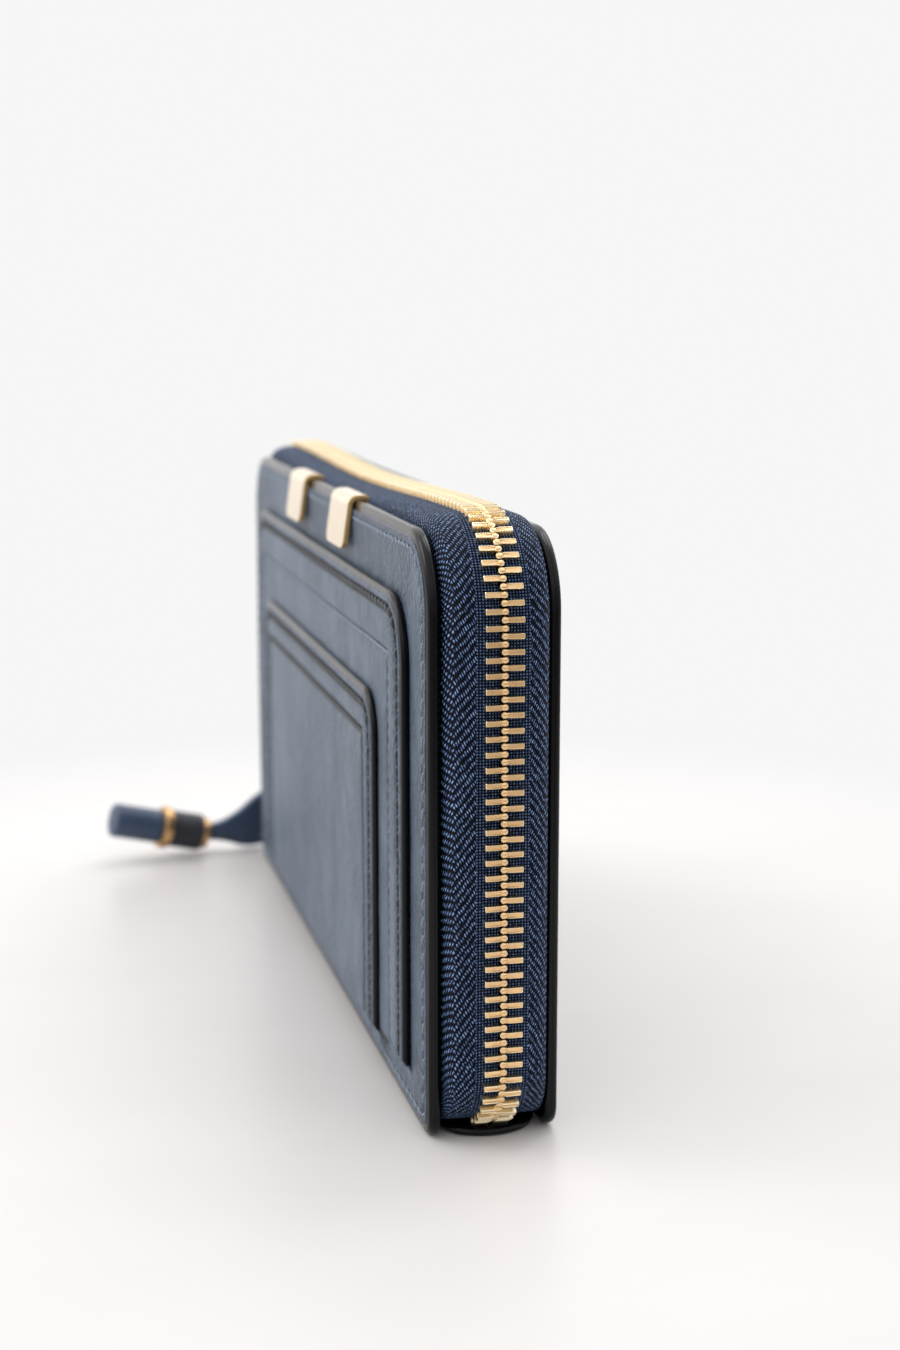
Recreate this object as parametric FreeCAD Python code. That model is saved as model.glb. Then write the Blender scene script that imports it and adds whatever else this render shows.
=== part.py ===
"""Long zip-around wallet in leather, modelled closed and standing on its spine.

Frame: millimetres, +Z up. X runs along the wallet, the front cover faces -Y, and the origin is the middle of the
spine's underside, on the table. The zip starts under the +X end, climbs it, runs along the top, and comes down the
-X end, where the slider is parked at the closed end of its travel. Each cover hinges about its crease, on the line
(CREASE_Y, CREASE_Z), and a card leaf fans out between each cover and the coin pocket in the middle.

Each function builds one piece. Writes one STEP per piece to parts/.
"""

import FreeCAD, Part
import math
import os

from FreeCAD import Rotation, Vector

# --- driving dimensions -------------------------------------------------------------------------------------
COVER_LENGTH = 185.0
COVER_HEIGHT = 100.0
COVER_FOOT = 0.2          # the cover's lower edge above the table
COVER_CORNER = 13.0       # radius of both covers' top corners
COVER_FOOT_CORNER = 4.0   # radius of their bottom corners
HALF_DEPTH = 11.2         # outer face of each cover, from the middle plane
LEATHER_T = 1.3
LINING_T = 1.2
BOARD_T = 0.6             # stiffener card, let into the back of the outer leather
BOARD_INSET = 5.0
BOARD_FOOT_CORNER = 1.0

SPINE_HALF_LENGTH = 82.0
SPINE_HALF_WIDTH = 8.0
SPINE_T = 2.0
SPINE_FLAT = 5.5          # half width of the flat that stands on the table
SPINE_LIP_LENGTH = 10.0   # rounded tongue at each end, under the foot of the zip
SPINE_LIP_HALF = 7.0
SPINE_LIP_T = 1.1
CREASE_Y = 10.0
CREASE_Z = 1.5

OUTER_PANEL_HALF = 80.5   # larger horseshoe panel on the front cover
OUTER_PANEL_TOP = 88.5
OUTER_PANEL_CORNER = 11.0
OUTER_PANEL_T = 1.5
INNER_PANEL_HALF = 62.0   # smaller horseshoe panel, on top of the larger one
INNER_PANEL_TOP = 69.5
INNER_PANEL_CORNER = 8.0
INNER_PANEL_T = 1.2
PANEL_FOOT_CORNER = 0.5
PANEL_FOOT = 5.5

PLATE_CENTRE = 24.0       # the two metal plates that straddle the front cover's top edge
PLATE_WIDTH = 17.0
PLATE_T = 0.9
PLATE_DROP = 9.0
PLATE_STAND_OFF = 1.3     # how far the plate's foot stands off the leather
PLATE_RETURN = 4.0
PLATE_GAP = 0.05          # clearance between a plate and the edge it straddles

TRACK_HALF = 97.5         # the zip chain's middle line
TRACK_TOP = 102.5
TRACK_SAG = 1.4           # dip of the chain halfway along the top
TRACK_FOOT = 2.6
TRACK_CORNER = 16.5       # radius of the chain at the top corners
TRACK_FOOT_CORNER = 13.5  # radius of the chain at the bottom corners
TRACK_END_ANGLE = 80.0    # how far the chain turns under, in degrees from level

TAPE_T = 0.6
TAPE_EDGE_Y = 1.0         # inner edge of each tape, inside the teeth
TAPE_KNEE_Y = 4.7         # the tape is flat from its edge to here
TAPE_SEAM_Y = 7.5         # where it meets the cover
TAPE_SEAM_INSET = 1.0
TAPE_SPANS = (6, 1, 8, 5)   # flat lengths of tape in each part of half the track, in order from the foot

TOOTH_PITCH = 2.5
TOOTH_REACH = 0.95        # how far a tooth's head passes the middle line
TOOTH_HEEL = 3.15
TOOTH_HALF_T = 1.15
TOOTH_HALF_WIDTH = 0.46
TOOTH_SLOT = 0.45

SLIDER_Z = 21.0
SLIDER_HALF = 5.25
SLIDER_PLATE_T = 0.9
SLIDER_CHANNEL = 1.45     # half height of the channel for the teeth
SLIDER_HALF_WIDTH = 4.4
BRIDGE_PIVOT = 3.25       # pull ring's axis above the chain's middle plane
RING_WIRE = 0.75
RING_HALF_WIDTH = 5.5
RING_LENGTH = 12.0
RING_BEND = 2.0

STRAP_YAW = 10.0          # the pull lies this many degrees towards the front cover
STRAP_T = 2.2
STRAP_NECK = 20.0         # distance from the ring's arm to the wrap
CORD_RADIUS = 1.9
CORD_RISE = 14.0          # slope of the pull's rolled end, in degrees
CORD_FOOT_Z = 5.1
WRAP_LENGTH = 9.0
WRAP_RADIUS = 4.6
COLLAR_LENGTH = 2.4
COLLAR_RADIUS = 5.3
SMALL_COLLAR_LENGTH = 1.6
SMALL_COLLAR_RADIUS = 3.9
BARREL_LENGTH = 12.0
BARREL_RADIUS = 4.15

LEAF_Y = 5.6              # middle plane of each card leaf
LEAF_T = 0.8
LEAF_HALF = 80.0
LEAF_FOOT = 4.5
LEAF_TOP = 91.0
CARD_ROWS = 3
CARD_ROW_T = 0.5
CARD_ROW_STEP = 15.0
CARD_HALF = 74.0
CARD_TOP = 78.0

COIN_HALF = 77.0
COIN_HALF_DEPTH = 2.5
COIN_WALL_T = 0.8
COIN_FOOT = 3.2
COIN_TOP = 85.0
COIN_ZIP_HALF = 70.0
COIN_PITCH = 2.2
COIN_SLIDER_X = -64.0

GUSSET_SPAN = 1.0         # the sheet's thickness measured along X, across its steep folds
GUSSET_OUT = 87.0         # outer folds of the bellows
GUSSET_IN = 81.5          # inner folds
GUSSET_FOOT = 6.0
GUSSET_TOP = 86.0

CLEAR = 0.05              # gap left between glued or sewn neighbours
OUT = "parts"


# --- small helpers ------------------------------------------------------------------------------------------
def box(x, y, z):
    """Box from (low, high) pairs."""
    return Part.makeBox(x[1] - x[0], y[1] - y[0], z[1] - z[0], Vector(x[0], y[0], z[0]))


def prism(points, direction):
    """Solid of a closed flat polygon pushed along a vector."""
    return Part.Face(Part.makePolygon(points + points[:1])).extrude(direction)


def rounded_plate(half, low, high, y, foot_radius, top_radius):
    """Upright plate with rounded corners, from y[0] to y[1]."""
    def at(x, z):
        return Vector(x, y[0], z)

    def arc(x, z, radius, start):
        middle, end = math.radians(start + 45), math.radians(start + 90)
        start = math.radians(start)
        return Part.Arc(*[at(x + radius * math.cos(a), z + radius * math.sin(a)) for a in (start, middle, end)])

    corners = [
        (half, low, foot_radius, -90), (half, high, top_radius, 0),
        (-half, high, top_radius, 90), (-half, low, foot_radius, 180),
    ]
    arcs = []
    for x, z, radius, start in corners:
        centre_x = x - math.copysign(radius, x)
        centre_z = z + radius if z == low else z - radius
        arcs.append(arc(centre_x, centre_z, radius, start).toShape())
    edges = []
    for n, curve in enumerate(arcs):
        after = arcs[(n + 1) % len(arcs)]
        edges.append(curve)
        edges.append(Part.makeLine(curve.Vertexes[-1].Point, after.Vertexes[0].Point))
    return Part.Face(Part.Wire(edges)).extrude(Vector(0, y[1] - y[0], 0))


def flat_sided(sections):
    """Solid through rings of points, with a flat triangle on each half of each side.

    Each ring goes out along one face of a sheet and back along the other, so that flat quads close its ends.
    """
    outlines = []
    for ring, step in ((sections[0], 1), (sections[-1], -1)):
        for n in range(len(ring) // 2 - 1):
            outlines.append([ring[n], ring[n + 1], ring[-n - 2], ring[-n - 1]][::step])
    for here, there in zip(sections, sections[1:]):
        for n in range(len(here)):
            after = (n + 1) % len(here)
            outlines += [[here[n], there[n], there[after]], [here[n], there[after], here[after]]]
    return Part.Solid(Part.Shell([Part.Face(Part.makePolygon(points + points[:1])) for points in outlines]))


def mirrored(shape):
    """The same shape on the back cover's side."""
    return shape.mirror(Vector(0, 0, 0), Vector(0, 1, 0))


def sided(shape, side):
    """shape is built for the front (-Y); side 1 turns it over to the back."""
    return mirrored(shape) if side > 0 else shape


def cylinder(radius, length, start, direction):
    return Part.makeCylinder(radius, length, start, direction)


# --- covers and panels --------------------------------------------------------------------------------------
def cover_leather(side):
    """Outer leather, with a shallow pocket in its back for the stiffener."""
    skin = rounded_plate(
        COVER_LENGTH / 2, COVER_FOOT, COVER_HEIGHT, (-HALF_DEPTH, -HALF_DEPTH + LEATHER_T), COVER_FOOT_CORNER,
        COVER_CORNER,
    )
    return sided(skin.cut(board_blank(0.0)), side)


def board_blank(clearance):
    """Outline of the stiffener, shrunk by a clearance."""
    inset = BOARD_INSET + clearance
    inner_face = -HALF_DEPTH + LEATHER_T
    return rounded_plate(
        COVER_LENGTH / 2 - inset, COVER_FOOT + inset, COVER_HEIGHT - inset,
        (inner_face - BOARD_T + clearance, inner_face), BOARD_FOOT_CORNER, COVER_CORNER - BOARD_INSET,
    )


def cover_board(side):
    return sided(board_blank(CLEAR), side)


def cover_lining(side):
    inner = -HALF_DEPTH + LEATHER_T
    return sided(
        rounded_plate(
            COVER_LENGTH / 2, COVER_FOOT, COVER_HEIGHT, (inner, inner + LINING_T), COVER_FOOT_CORNER, COVER_CORNER
        ),
        side,
    )


def outer_panel():
    face = -HALF_DEPTH
    return rounded_plate(
        OUTER_PANEL_HALF, PANEL_FOOT, OUTER_PANEL_TOP, (face - OUTER_PANEL_T, face), PANEL_FOOT_CORNER,
        OUTER_PANEL_CORNER,
    )


def inner_panel():
    face = -HALF_DEPTH - OUTER_PANEL_T
    return rounded_plate(
        INNER_PANEL_HALF, PANEL_FOOT, INNER_PANEL_TOP, (face - INNER_PANEL_T, face), PANEL_FOOT_CORNER,
        INNER_PANEL_CORNER,
    )


def metal_plate(x):
    """Sheet bent over the front cover's top edge: a leaning front leg, a flat top and a short return inside."""
    outer = -HALF_DEPTH - PLATE_GAP
    inner = -HALF_DEPTH + LEATHER_T + LINING_T + PLATE_GAP
    top = COVER_HEIGHT + PLATE_GAP
    foot = top - PLATE_DROP
    profile = [
        (outer - PLATE_STAND_OFF, foot), (outer, top), (inner, top), (inner, top - PLATE_RETURN),
        (inner + PLATE_T, top - PLATE_RETURN), (inner + PLATE_T, top + PLATE_T), (outer - PLATE_T, top + PLATE_T),
        (outer - PLATE_STAND_OFF - PLATE_T, foot),
    ]
    start = x - PLATE_WIDTH / 2
    sheet = prism([Vector(start, y, z) for y, z in profile], Vector(PLATE_WIDTH, 0, 0))

    def is_bend(edge):
        """The sheet's outer bend at the front, which shows."""
        ends = [v.Point for v in edge.Vertexes]
        return all(p.z > top + PLATE_T / 2 and p.y < outer for p in ends)

    return sheet.makeFillet(PLATE_T * 0.95, [e for e in sheet.Edges if is_bend(e)])


# --- spine --------------------------------------------------------------------------------------------------
def spine_leather():
    """Shallow trough with a tongue at each end: flat underneath, curling up at both sides to meet the covers."""
    rise = SPINE_HALF_WIDTH - SPINE_FLAT
    turn = math.sqrt(0.5)

    def at(y, z):
        return Vector(-SPINE_HALF_LENGTH, y, z)

    def curl(sign, radius):
        """Quarter turn about the point above the end of the flat."""
        centre_y, centre_z = sign * SPINE_FLAT, rise
        return Part.Arc(
            at(centre_y, centre_z - radius), at(centre_y + sign * radius * turn, centre_z - radius * turn),
            at(centre_y + sign * radius, centre_z),
        ).toShape()

    inner = rise - SPINE_T
    edges = [
        Part.makeLine(at(-SPINE_FLAT, 0), at(SPINE_FLAT, 0)), curl(1, rise),
        Part.makeLine(at(SPINE_HALF_WIDTH, rise), at(SPINE_FLAT + inner, rise)), curl(1, inner),
        Part.makeLine(at(SPINE_FLAT, SPINE_T), at(-SPINE_FLAT, SPINE_T)), curl(-1, inner),
        Part.makeLine(at(-SPINE_FLAT - inner, rise), at(-SPINE_HALF_WIDTH, rise)), curl(-1, rise),
    ]
    wire = Part.Wire(Part.__sortEdges__(edges))
    trough = Part.Face(wire).extrude(Vector(2 * SPINE_HALF_LENGTH, 0, 0))
    return trough.fuse([spine_lip(1), spine_lip(-1)]).removeSplitter()


def spine_lip(end):
    """Rounded tongue that runs out under the foot of the zip."""
    start = end * (SPINE_HALF_LENGTH - 1)
    tip = end * (SPINE_HALF_LENGTH + SPINE_LIP_LENGTH)
    near, far = Vector(start, -SPINE_LIP_HALF, 0), Vector(start, SPINE_LIP_HALF, 0)
    edge = Part.Arc(near, Vector(tip, 0, 0), far).toShape()
    return Part.Face(Part.Wire([edge, Part.makeLine(far, near)])).extrude(Vector(0, 0, SPINE_LIP_T))


def spine_lining():
    low = SPINE_T + CLEAR
    return box((-SPINE_HALF_LENGTH, SPINE_HALF_LENGTH), (-SPINE_FLAT, SPINE_FLAT), (low, COIN_FOOT - CLEAR))


# --- zip track ----------------------------------------------------------------------------------------------
def track_lengths():
    """Half of the track, in order: lower corner, upright run, top corner, half of the top run."""
    upright = TRACK_TOP - TRACK_CORNER - TRACK_FOOT - TRACK_FOOT_CORNER
    return [
        TRACK_FOOT_CORNER * math.radians(TRACK_END_ANGLE), upright, TRACK_CORNER * math.pi / 2,
        TRACK_HALF - TRACK_CORNER,
    ]


def half_track(s):
    """Point on the +X half at distance s from the chain's foot: (x, z, turn, seam x, seam z).

    turn is the angle about Y, in degrees, that carries +Z to the outward normal. The seam is where the tape meets
    the cover there.
    """
    foot, upright, corner, top = track_lengths()
    seam_half = COVER_LENGTH / 2 - TAPE_SEAM_INSET
    seam_radius = COVER_CORNER - TAPE_SEAM_INSET
    seam_centre_x = seam_half - seam_radius
    seam_low = COVER_CORNER
    seam_high = COVER_HEIGHT - COVER_CORNER
    foot_z = TRACK_FOOT + TRACK_FOOT_CORNER
    top_z = TRACK_TOP - TRACK_CORNER
    if s <= foot:
        below = (1 - s / foot) * TRACK_END_ANGLE
        a, b = math.radians(below), math.radians(below * 0.9)
        return (
            TRACK_HALF - TRACK_FOOT_CORNER * (1 - math.cos(a)), foot_z - TRACK_FOOT_CORNER * math.sin(a), 90 + below,
            seam_centre_x + seam_radius * math.cos(b), seam_low - seam_radius * math.sin(b),
        )
    s -= foot
    if s <= upright:
        part = s / upright
        return TRACK_HALF, foot_z + s, 90.0, seam_half, seam_low + part * (seam_high - seam_low)
    s -= upright
    if s <= corner:
        a = s / corner * math.pi / 2
        return (
            TRACK_HALF - TRACK_CORNER * (1 - math.cos(a)), top_z + TRACK_CORNER * math.sin(a), 90 - math.degrees(a),
            seam_centre_x + seam_radius * math.cos(a), seam_high + seam_radius * math.sin(a),
        )
    x = top - (s - corner)
    wave = math.pi * x / top
    dip = TRACK_SAG * (1 + math.cos(wave)) / 2
    slope = TRACK_SAG * math.pi / top * math.sin(wave) / 2
    return x, TRACK_TOP - dip, -math.degrees(math.atan(slope)), seam_centre_x * x / top, seam_high + seam_radius


def track(s):
    """Point on the whole track, from the +X foot (s = 0) to the -X foot."""
    half = sum(track_lengths())
    if s <= half:
        return half_track(s)
    x, z, turn, seam_x, seam_z = half_track(2 * half - s)
    return -x, z, -turn, -seam_x, seam_z


def tape_stations():
    """Distances along the track for the tape's sections: close together round the corners, none on the uprights."""
    spans = list(zip(track_lengths(), TAPE_SPANS))
    stations = [0.0]
    for length, count in spans + spans[::-1]:
        start = stations[-1]
        stations += [start + length * (n + 1) / count for n in range(count)]
    return stations


def zip_tape(side):
    """Woven tape: flat beside the teeth, then sloping back to the cover's edge, along the whole track."""
    sections = []
    for s in tape_stations():
        x, z, turn, seam_x, seam_z = track(s)
        out = Rotation(Vector(0, 1, 0), turn).multVec(Vector(0, 0, TAPE_T / 2))
        line = [Vector(x, -TAPE_EDGE_Y, z), Vector(x, -TAPE_KNEE_Y, z), Vector(seam_x, -TAPE_SEAM_Y, seam_z)]
        sections.append([p + out for p in line] + [p - out for p in reversed(line)])
    return sided(flat_sided(sections), side)


def master_tooth():
    """One tooth of the front row: slotted to grip the tape, with a tapered head that passes the middle line.

    X is along the chain and Z is outwards.
    """
    heel, slot, thick, wide = -TOOTH_HEEL, TOOTH_SLOT, TOOTH_HALF_T, TOOTH_HALF_WIDTH
    inside = -TAPE_EDGE_Y + 0.15
    side_view = [
        (heel, thick), (TOOTH_REACH, thick), (TOOTH_REACH, -thick), (heel, -thick), (heel, -slot), (inside, -slot),
        (inside, slot), (heel, slot),
    ]
    head, tip = wide + 0.06, wide * 0.55
    plan = [(heel, -wide), (0.3, -head), (TOOTH_REACH, -tip), (TOOTH_REACH, tip), (0.3, head), (heel, wide)]
    bar = prism([Vector(-1, y, z) for y, z in side_view], Vector(2, 0, 0))
    return bar.common(prism([Vector(x, y, -2) for y, x in plan], Vector(0, 0, 4)))


def on_track(shape, s):
    """A copy of shape carried to distance s along the track."""
    x, z, turn, _, _ = track(s)
    copy = shape.copy()
    copy.Placement = FreeCAD.Placement(Vector(x, 0, z), Rotation(Vector(0, 1, 0), turn))
    return copy


def slider_clear_length():
    """Distance along the track to the last tooth above the parked slider."""
    foot = track_lengths()[0]
    above = SLIDER_Z + SLIDER_HALF + TOOTH_HALF_WIDTH + CLEAR - TRACK_FOOT - TRACK_FOOT_CORNER
    return 2 * sum(track_lengths()) - foot - above


def zip_teeth(side):
    """One row of teeth; the back row stands half a pitch along, so that the rows mesh."""
    first = TOOTH_PITCH * (0.5 if side < 0 else 1.0)
    tooth = sided(master_tooth(), side)
    count = int((slider_clear_length() - first) // TOOTH_PITCH) + 1
    return Part.Compound([on_track(tooth, first + n * TOOTH_PITCH) for n in range(count)])


def zip_top_stop(side):
    """Folded metal stop that clamps one tape just below the parked slider."""
    foot = track_lengths()[0]
    below = TRACK_FOOT + TRACK_FOOT_CORNER - (SLIDER_Z - SLIDER_HALF) + 1.5
    outer = box((-1.0, 1.0), (-TAPE_KNEE_Y + 1.2, -0.4), (-TOOTH_HALF_T, TOOTH_HALF_T))
    slot = box((-2.0, 2.0), (-TAPE_KNEE_Y, -TAPE_EDGE_Y + 0.15), (-TOOTH_SLOT - 0.1, TOOTH_SLOT + 0.1))
    return on_track(sided(outer.cut(slot), side), 2 * sum(track_lengths()) - foot + below)


def zip_bottom_stop():
    """Staple that closes the foot of the chain, sewn down to the end of the spine."""
    x, z, _, _, _ = track(0.0)
    return box((x - 3.0, x - 0.9), (-3.4, 3.4), (z - 0.6, z + 0.9))


# --- slider and pull ----------------------------------------------------------------------------------------
def slider_shell():
    """Two plates with turned-in flanges, and the bridge that holds the pull ring. Z is outwards, X is upwards."""
    plate_top = SLIDER_CHANNEL + SLIDER_PLATE_T
    flange_in = SLIDER_HALF_WIDTH - 0.8
    solids = []
    for sign in (1, -1):
        low, high = sorted((sign * SLIDER_CHANNEL, sign * plate_top))
        outline = [
            (SLIDER_HALF, SLIDER_HALF_WIDTH - 0.6), (-SLIDER_HALF + 3, SLIDER_HALF_WIDTH), (-SLIDER_HALF, 3.0),
        ]
        ring = outline + [(x, -y) for x, y in reversed(outline)]
        solids.append(prism([Vector(x, y, low) for x, y in ring], Vector(0, 0, high - low)))
        for hand in (1, -1):
            low_y, high_y = sorted((hand * flange_in, hand * (SLIDER_HALF_WIDTH - 0.6)))
            low_z, high_z = sorted((sign * (TAPE_T / 2 + 0.2), sign * SLIDER_CHANNEL))
            solids.append(box((-SLIDER_HALF + 2.2, SLIDER_HALF), (low_y, high_y), (low_z, high_z)))
    bridge = box((-3.6, 3.6), (-1.2, 1.2), (plate_top, BRIDGE_PIVOT + RING_WIRE + 1.0))
    tunnel = box((-2.2, 2.2), (-2, 2), (plate_top, BRIDGE_PIVOT + RING_WIRE + 0.2))
    arch = bridge.cut(tunnel)
    outer_shell = solids[0].fuse(solids[1:3] + [arch])
    inner_shell = solids[3].fuse(solids[4:])
    return Part.Compound([outer_shell.removeSplitter(), inner_shell.removeSplitter()])


def at_slider(shape):
    """From the slider's own axes to its parked place on the -X end."""
    copy = shape.copy()
    copy.Placement = FreeCAD.Placement(Vector(-TRACK_HALF, 0, SLIDER_Z), Rotation(Vector(0, 1, 0), -90))
    return copy


def slider_body():
    return at_slider(slider_shell())


def slider_diamond():
    """Wedge between the plates that parts the rows as the slider passes."""
    low = -SLIDER_HALF + 0.6
    plan = [(low, 0), (low + 2.0, 0.8), (low + 4.2, 0), (low + 2.0, -0.8)]
    return at_slider(prism([Vector(x, y, -SLIDER_CHANNEL) for x, y in plan], Vector(0, 0, 2 * SLIDER_CHANNEL)))


def ring_place():
    """X and Z of the pull ring's pivot."""
    return -TRACK_HALF - BRIDGE_PIVOT, SLIDER_Z


def pull_ring():
    """Rectangular wire ring that hangs from the bridge, with rounded corners."""
    x, top = ring_place()
    low = top - RING_LENGTH
    span = 2 * (RING_HALF_WIDTH - RING_BEND)
    arm = RING_LENGTH - 2 * RING_BEND
    pieces = []
    for z in (top, low):
        pieces.append(cylinder(RING_WIRE, span, Vector(x, -span / 2, z), Vector(0, 1, 0)))
    for y in (-RING_HALF_WIDTH, RING_HALF_WIDTH):
        pieces.append(cylinder(RING_WIRE, arm, Vector(x, y, low + RING_BEND), Vector(0, 0, 1)))
    for y, z, spin in ((1, 1, 0), (-1, 1, 90), (-1, -1, 180), (1, -1, 270)):
        bend = Part.makeTorus(RING_BEND, RING_WIRE, Vector(0, 0, 0), Vector(0, 0, 1), -180, 180, 90)
        bend.rotate(Vector(0, 0, 0), Vector(0, 0, 1), spin)
        bend.rotate(Vector(0, 0, 0), Vector(1, 1, 1), 120)
        centre_z = (top if z > 0 else low) - z * RING_BEND
        bend.translate(Vector(x, y * (RING_HALF_WIDTH - RING_BEND), centre_z))
        pieces.append(bend)
    return pieces[0].fuse(pieces[1:]).removeSplitter()


def lay_pull(shape):
    """From the pull's own axes (X away from the ring's arm, Z up) to where it lies in front of the wallet."""
    x, _ = ring_place()
    copy = shape.copy()
    copy.Placement = FreeCAD.Placement(Vector(x, -RING_HALF_WIDTH, 0), Rotation(Vector(0, 0, 1), -90 + STRAP_YAW))
    return copy


def cord_point(along):
    """Point on the rolled end's axis, at a distance from the strap's neck."""
    rise = math.radians(CORD_RISE)
    return Vector(STRAP_NECK + along * math.cos(rise), 0, CORD_FOOT_Z + along * math.sin(rise))


def cord_direction():
    rise = math.radians(CORD_RISE)
    return Vector(math.cos(rise), 0, math.sin(rise))


def sleeve(outer, inner, start, length):
    """Tube on the rolled end's axis."""
    tube = cylinder(outer, length, cord_point(start), cord_direction())
    return tube.cut(cylinder(inner, length, cord_point(start), cord_direction()))


def pull_strap():
    """Folded strap: a loop round the ring's arm, a flared middle, and a rolled core that carries the beads."""
    loop_low, loop_high = SLIDER_Z - RING_LENGTH + RING_BEND + 0.3, SLIDER_Z - RING_BEND - 0.3
    outline = [
        (0.5, loop_low), (3.5, loop_low - 2.2), (8.0, 0.9), (13.0, 0.7), (17.0, 2.3), (STRAP_NECK + 1, 3.4),
        (STRAP_NECK + 1, 7.0), (15.5, 8.0), (9.0, 11.6), (3.5, 15.0), (0.5, loop_high - 1.5),
    ]
    web = prism([Vector(x, -STRAP_T / 2, z) for x, z in outline], Vector(0, STRAP_T, 0))
    loop = cylinder(RING_WIRE + 1.15, loop_high - 1.5 - loop_low, Vector(0, 0, loop_low), Vector(0, 0, 1))
    core = cylinder(CORD_RADIUS, WRAP_LENGTH + COLLAR_LENGTH + BARREL_LENGTH - 1.0, cord_point(0), cord_direction())
    eye = cylinder(RING_WIRE + CLEAR, COVER_HEIGHT, Vector(0, 0, 0), Vector(0, 0, 1))
    return lay_pull(web.fuse([loop, core]).cut(eye).removeSplitter())


def pull_small_collar():
    return lay_pull(sleeve(SMALL_COLLAR_RADIUS, CORD_RADIUS + CLEAR, 1.4, SMALL_COLLAR_LENGTH))


def pull_wrap():
    start = 1.4 + SMALL_COLLAR_LENGTH + CLEAR
    length = WRAP_LENGTH - start - CLEAR
    return lay_pull(sleeve(WRAP_RADIUS, CORD_RADIUS + CLEAR, start, length))


def pull_collar():
    return lay_pull(sleeve(COLLAR_RADIUS, CORD_RADIUS + CLEAR, WRAP_LENGTH, COLLAR_LENGTH))


def pull_barrel():
    """Rolled leather end, closed over the core."""
    start = WRAP_LENGTH + COLLAR_LENGTH + CLEAR
    roll = cylinder(BARREL_RADIUS, BARREL_LENGTH, cord_point(start), cord_direction())
    bore = cylinder(CORD_RADIUS + CLEAR, BARREL_LENGTH - 1.0, cord_point(start), cord_direction())
    return lay_pull(roll.cut(bore))


# --- inside -------------------------------------------------------------------------------------------------
def leaf_panel(side):
    return sided(
        rounded_plate(LEAF_HALF, LEAF_FOOT, LEAF_TOP, (-LEAF_Y - LEAF_T / 2, -LEAF_Y + LEAF_T / 2), 3.0, 6.0), side
    )


def card_row(side, row):
    """One tier of card pockets, on the side of the leaf that faces the cover. Row 0 is the tallest."""
    face = -LEAF_Y - LEAF_T / 2 - row * CARD_ROW_T
    top = CARD_TOP - row * CARD_ROW_STEP
    return sided(
        rounded_plate(CARD_HALF, LEAF_FOOT + 2, top, (face - CARD_ROW_T, face - CLEAR / 2), 1.0, 2.0), side
    )


def coin_wall(side):
    return sided(
        rounded_plate(COIN_HALF, COIN_FOOT, COIN_TOP, (-COIN_HALF_DEPTH, -COIN_HALF_DEPTH + COIN_WALL_T), 2.0, 5.0),
        side,
    )


def coin_lining():
    """Fabric bag inside the coin pocket, open at the top."""
    outer, inner = COIN_HALF_DEPTH - COIN_WALL_T - CLEAR, COIN_HALF_DEPTH - COIN_WALL_T - 0.35
    bag = box((-COIN_HALF + 2, COIN_HALF - 2), (-outer, outer), (COIN_FOOT, COIN_TOP - 9))
    hollow = box((-COIN_HALF + 2.3, COIN_HALF - 2.3), (-inner, inner), (COIN_FOOT + 0.3, COIN_TOP))
    return bag.cut(hollow)


def coin_tape(side):
    """Small zip's tape: an upright strip sewn to the pocket wall, turned in at the top."""
    wall = COIN_HALF_DEPTH - COIN_WALL_T - CLEAR
    half = COIN_ZIP_HALF + 4
    upright = box((-half, half), (-wall, -wall + 0.3), (COIN_TOP - 8, COIN_TOP + 1.6))
    lip = box((-half, half), (-wall, -0.9), (COIN_TOP + 1.3, COIN_TOP + 1.6))
    return sided(upright.fuse(lip).removeSplitter(), side)


def coin_teeth(side):
    """Small metal teeth above the turned-in tape."""
    low, high = COIN_TOP + 1.65, COIN_TOP + 2.75
    first = COIN_SLIDER_X + 5.2 + (0 if side < 0 else COIN_PITCH / 2)
    count = int((COIN_ZIP_HALF - first) // COIN_PITCH) + 1
    tooth = sided(box((-0.4, 0.4), (-2.0, 0.6), (low, high)), side)
    return Part.Compound([tooth.translated(Vector(first + n * COIN_PITCH, 0, 0)) for n in range(count)])


def coin_stops():
    low, high = COIN_TOP + 1.65, COIN_TOP + 2.75
    far, near = COIN_SLIDER_X - 5.5, COIN_ZIP_HALF + 1.2
    return Part.Compound([box((x, x + 1.2), (-2.0, 2.0), (low, high)) for x in (far, near)])


def coin_slider():
    """Small slider: a plate over the teeth, a narrow keel under them, and a bridge for the tab."""
    x, low = COIN_SLIDER_X, COIN_TOP + 2.85
    plate = prism(
        [Vector(x + dx, dy, low) for dx, dy in ((-3.8, -2.2), (-3.8, 2.2), (2, 2.7), (4, 1.8), (4, -1.8), (2, -2.7))],
        Vector(0, 0, 0.7),
    )
    bridge = box((x - 2.4, x + 2.4), (-0.8, 0.8), (low + 0.7, low + 3.0))
    tunnel = box((x - 1.4, x + 1.4), (-1, 1), (low + 0.7, low + 2.3))
    keel = box((x - 3.8, x + 4), (-0.75, 0.75), (COIN_TOP - 0.1, COIN_TOP + 0.6))
    return Part.Compound([plate.fuse(bridge.cut(tunnel)).removeSplitter(), keel])


def coin_diamond():
    x = COIN_SLIDER_X
    plan = [(x - 3.2, 0), (x - 2.2, 0.4), (x - 1.0, 0), (x - 2.2, -0.4)]
    low, high = COIN_TOP + 0.6, COIN_TOP + 2.85
    return prism([Vector(px, py, low) for px, py in plan], Vector(0, 0, high - low))


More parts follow.
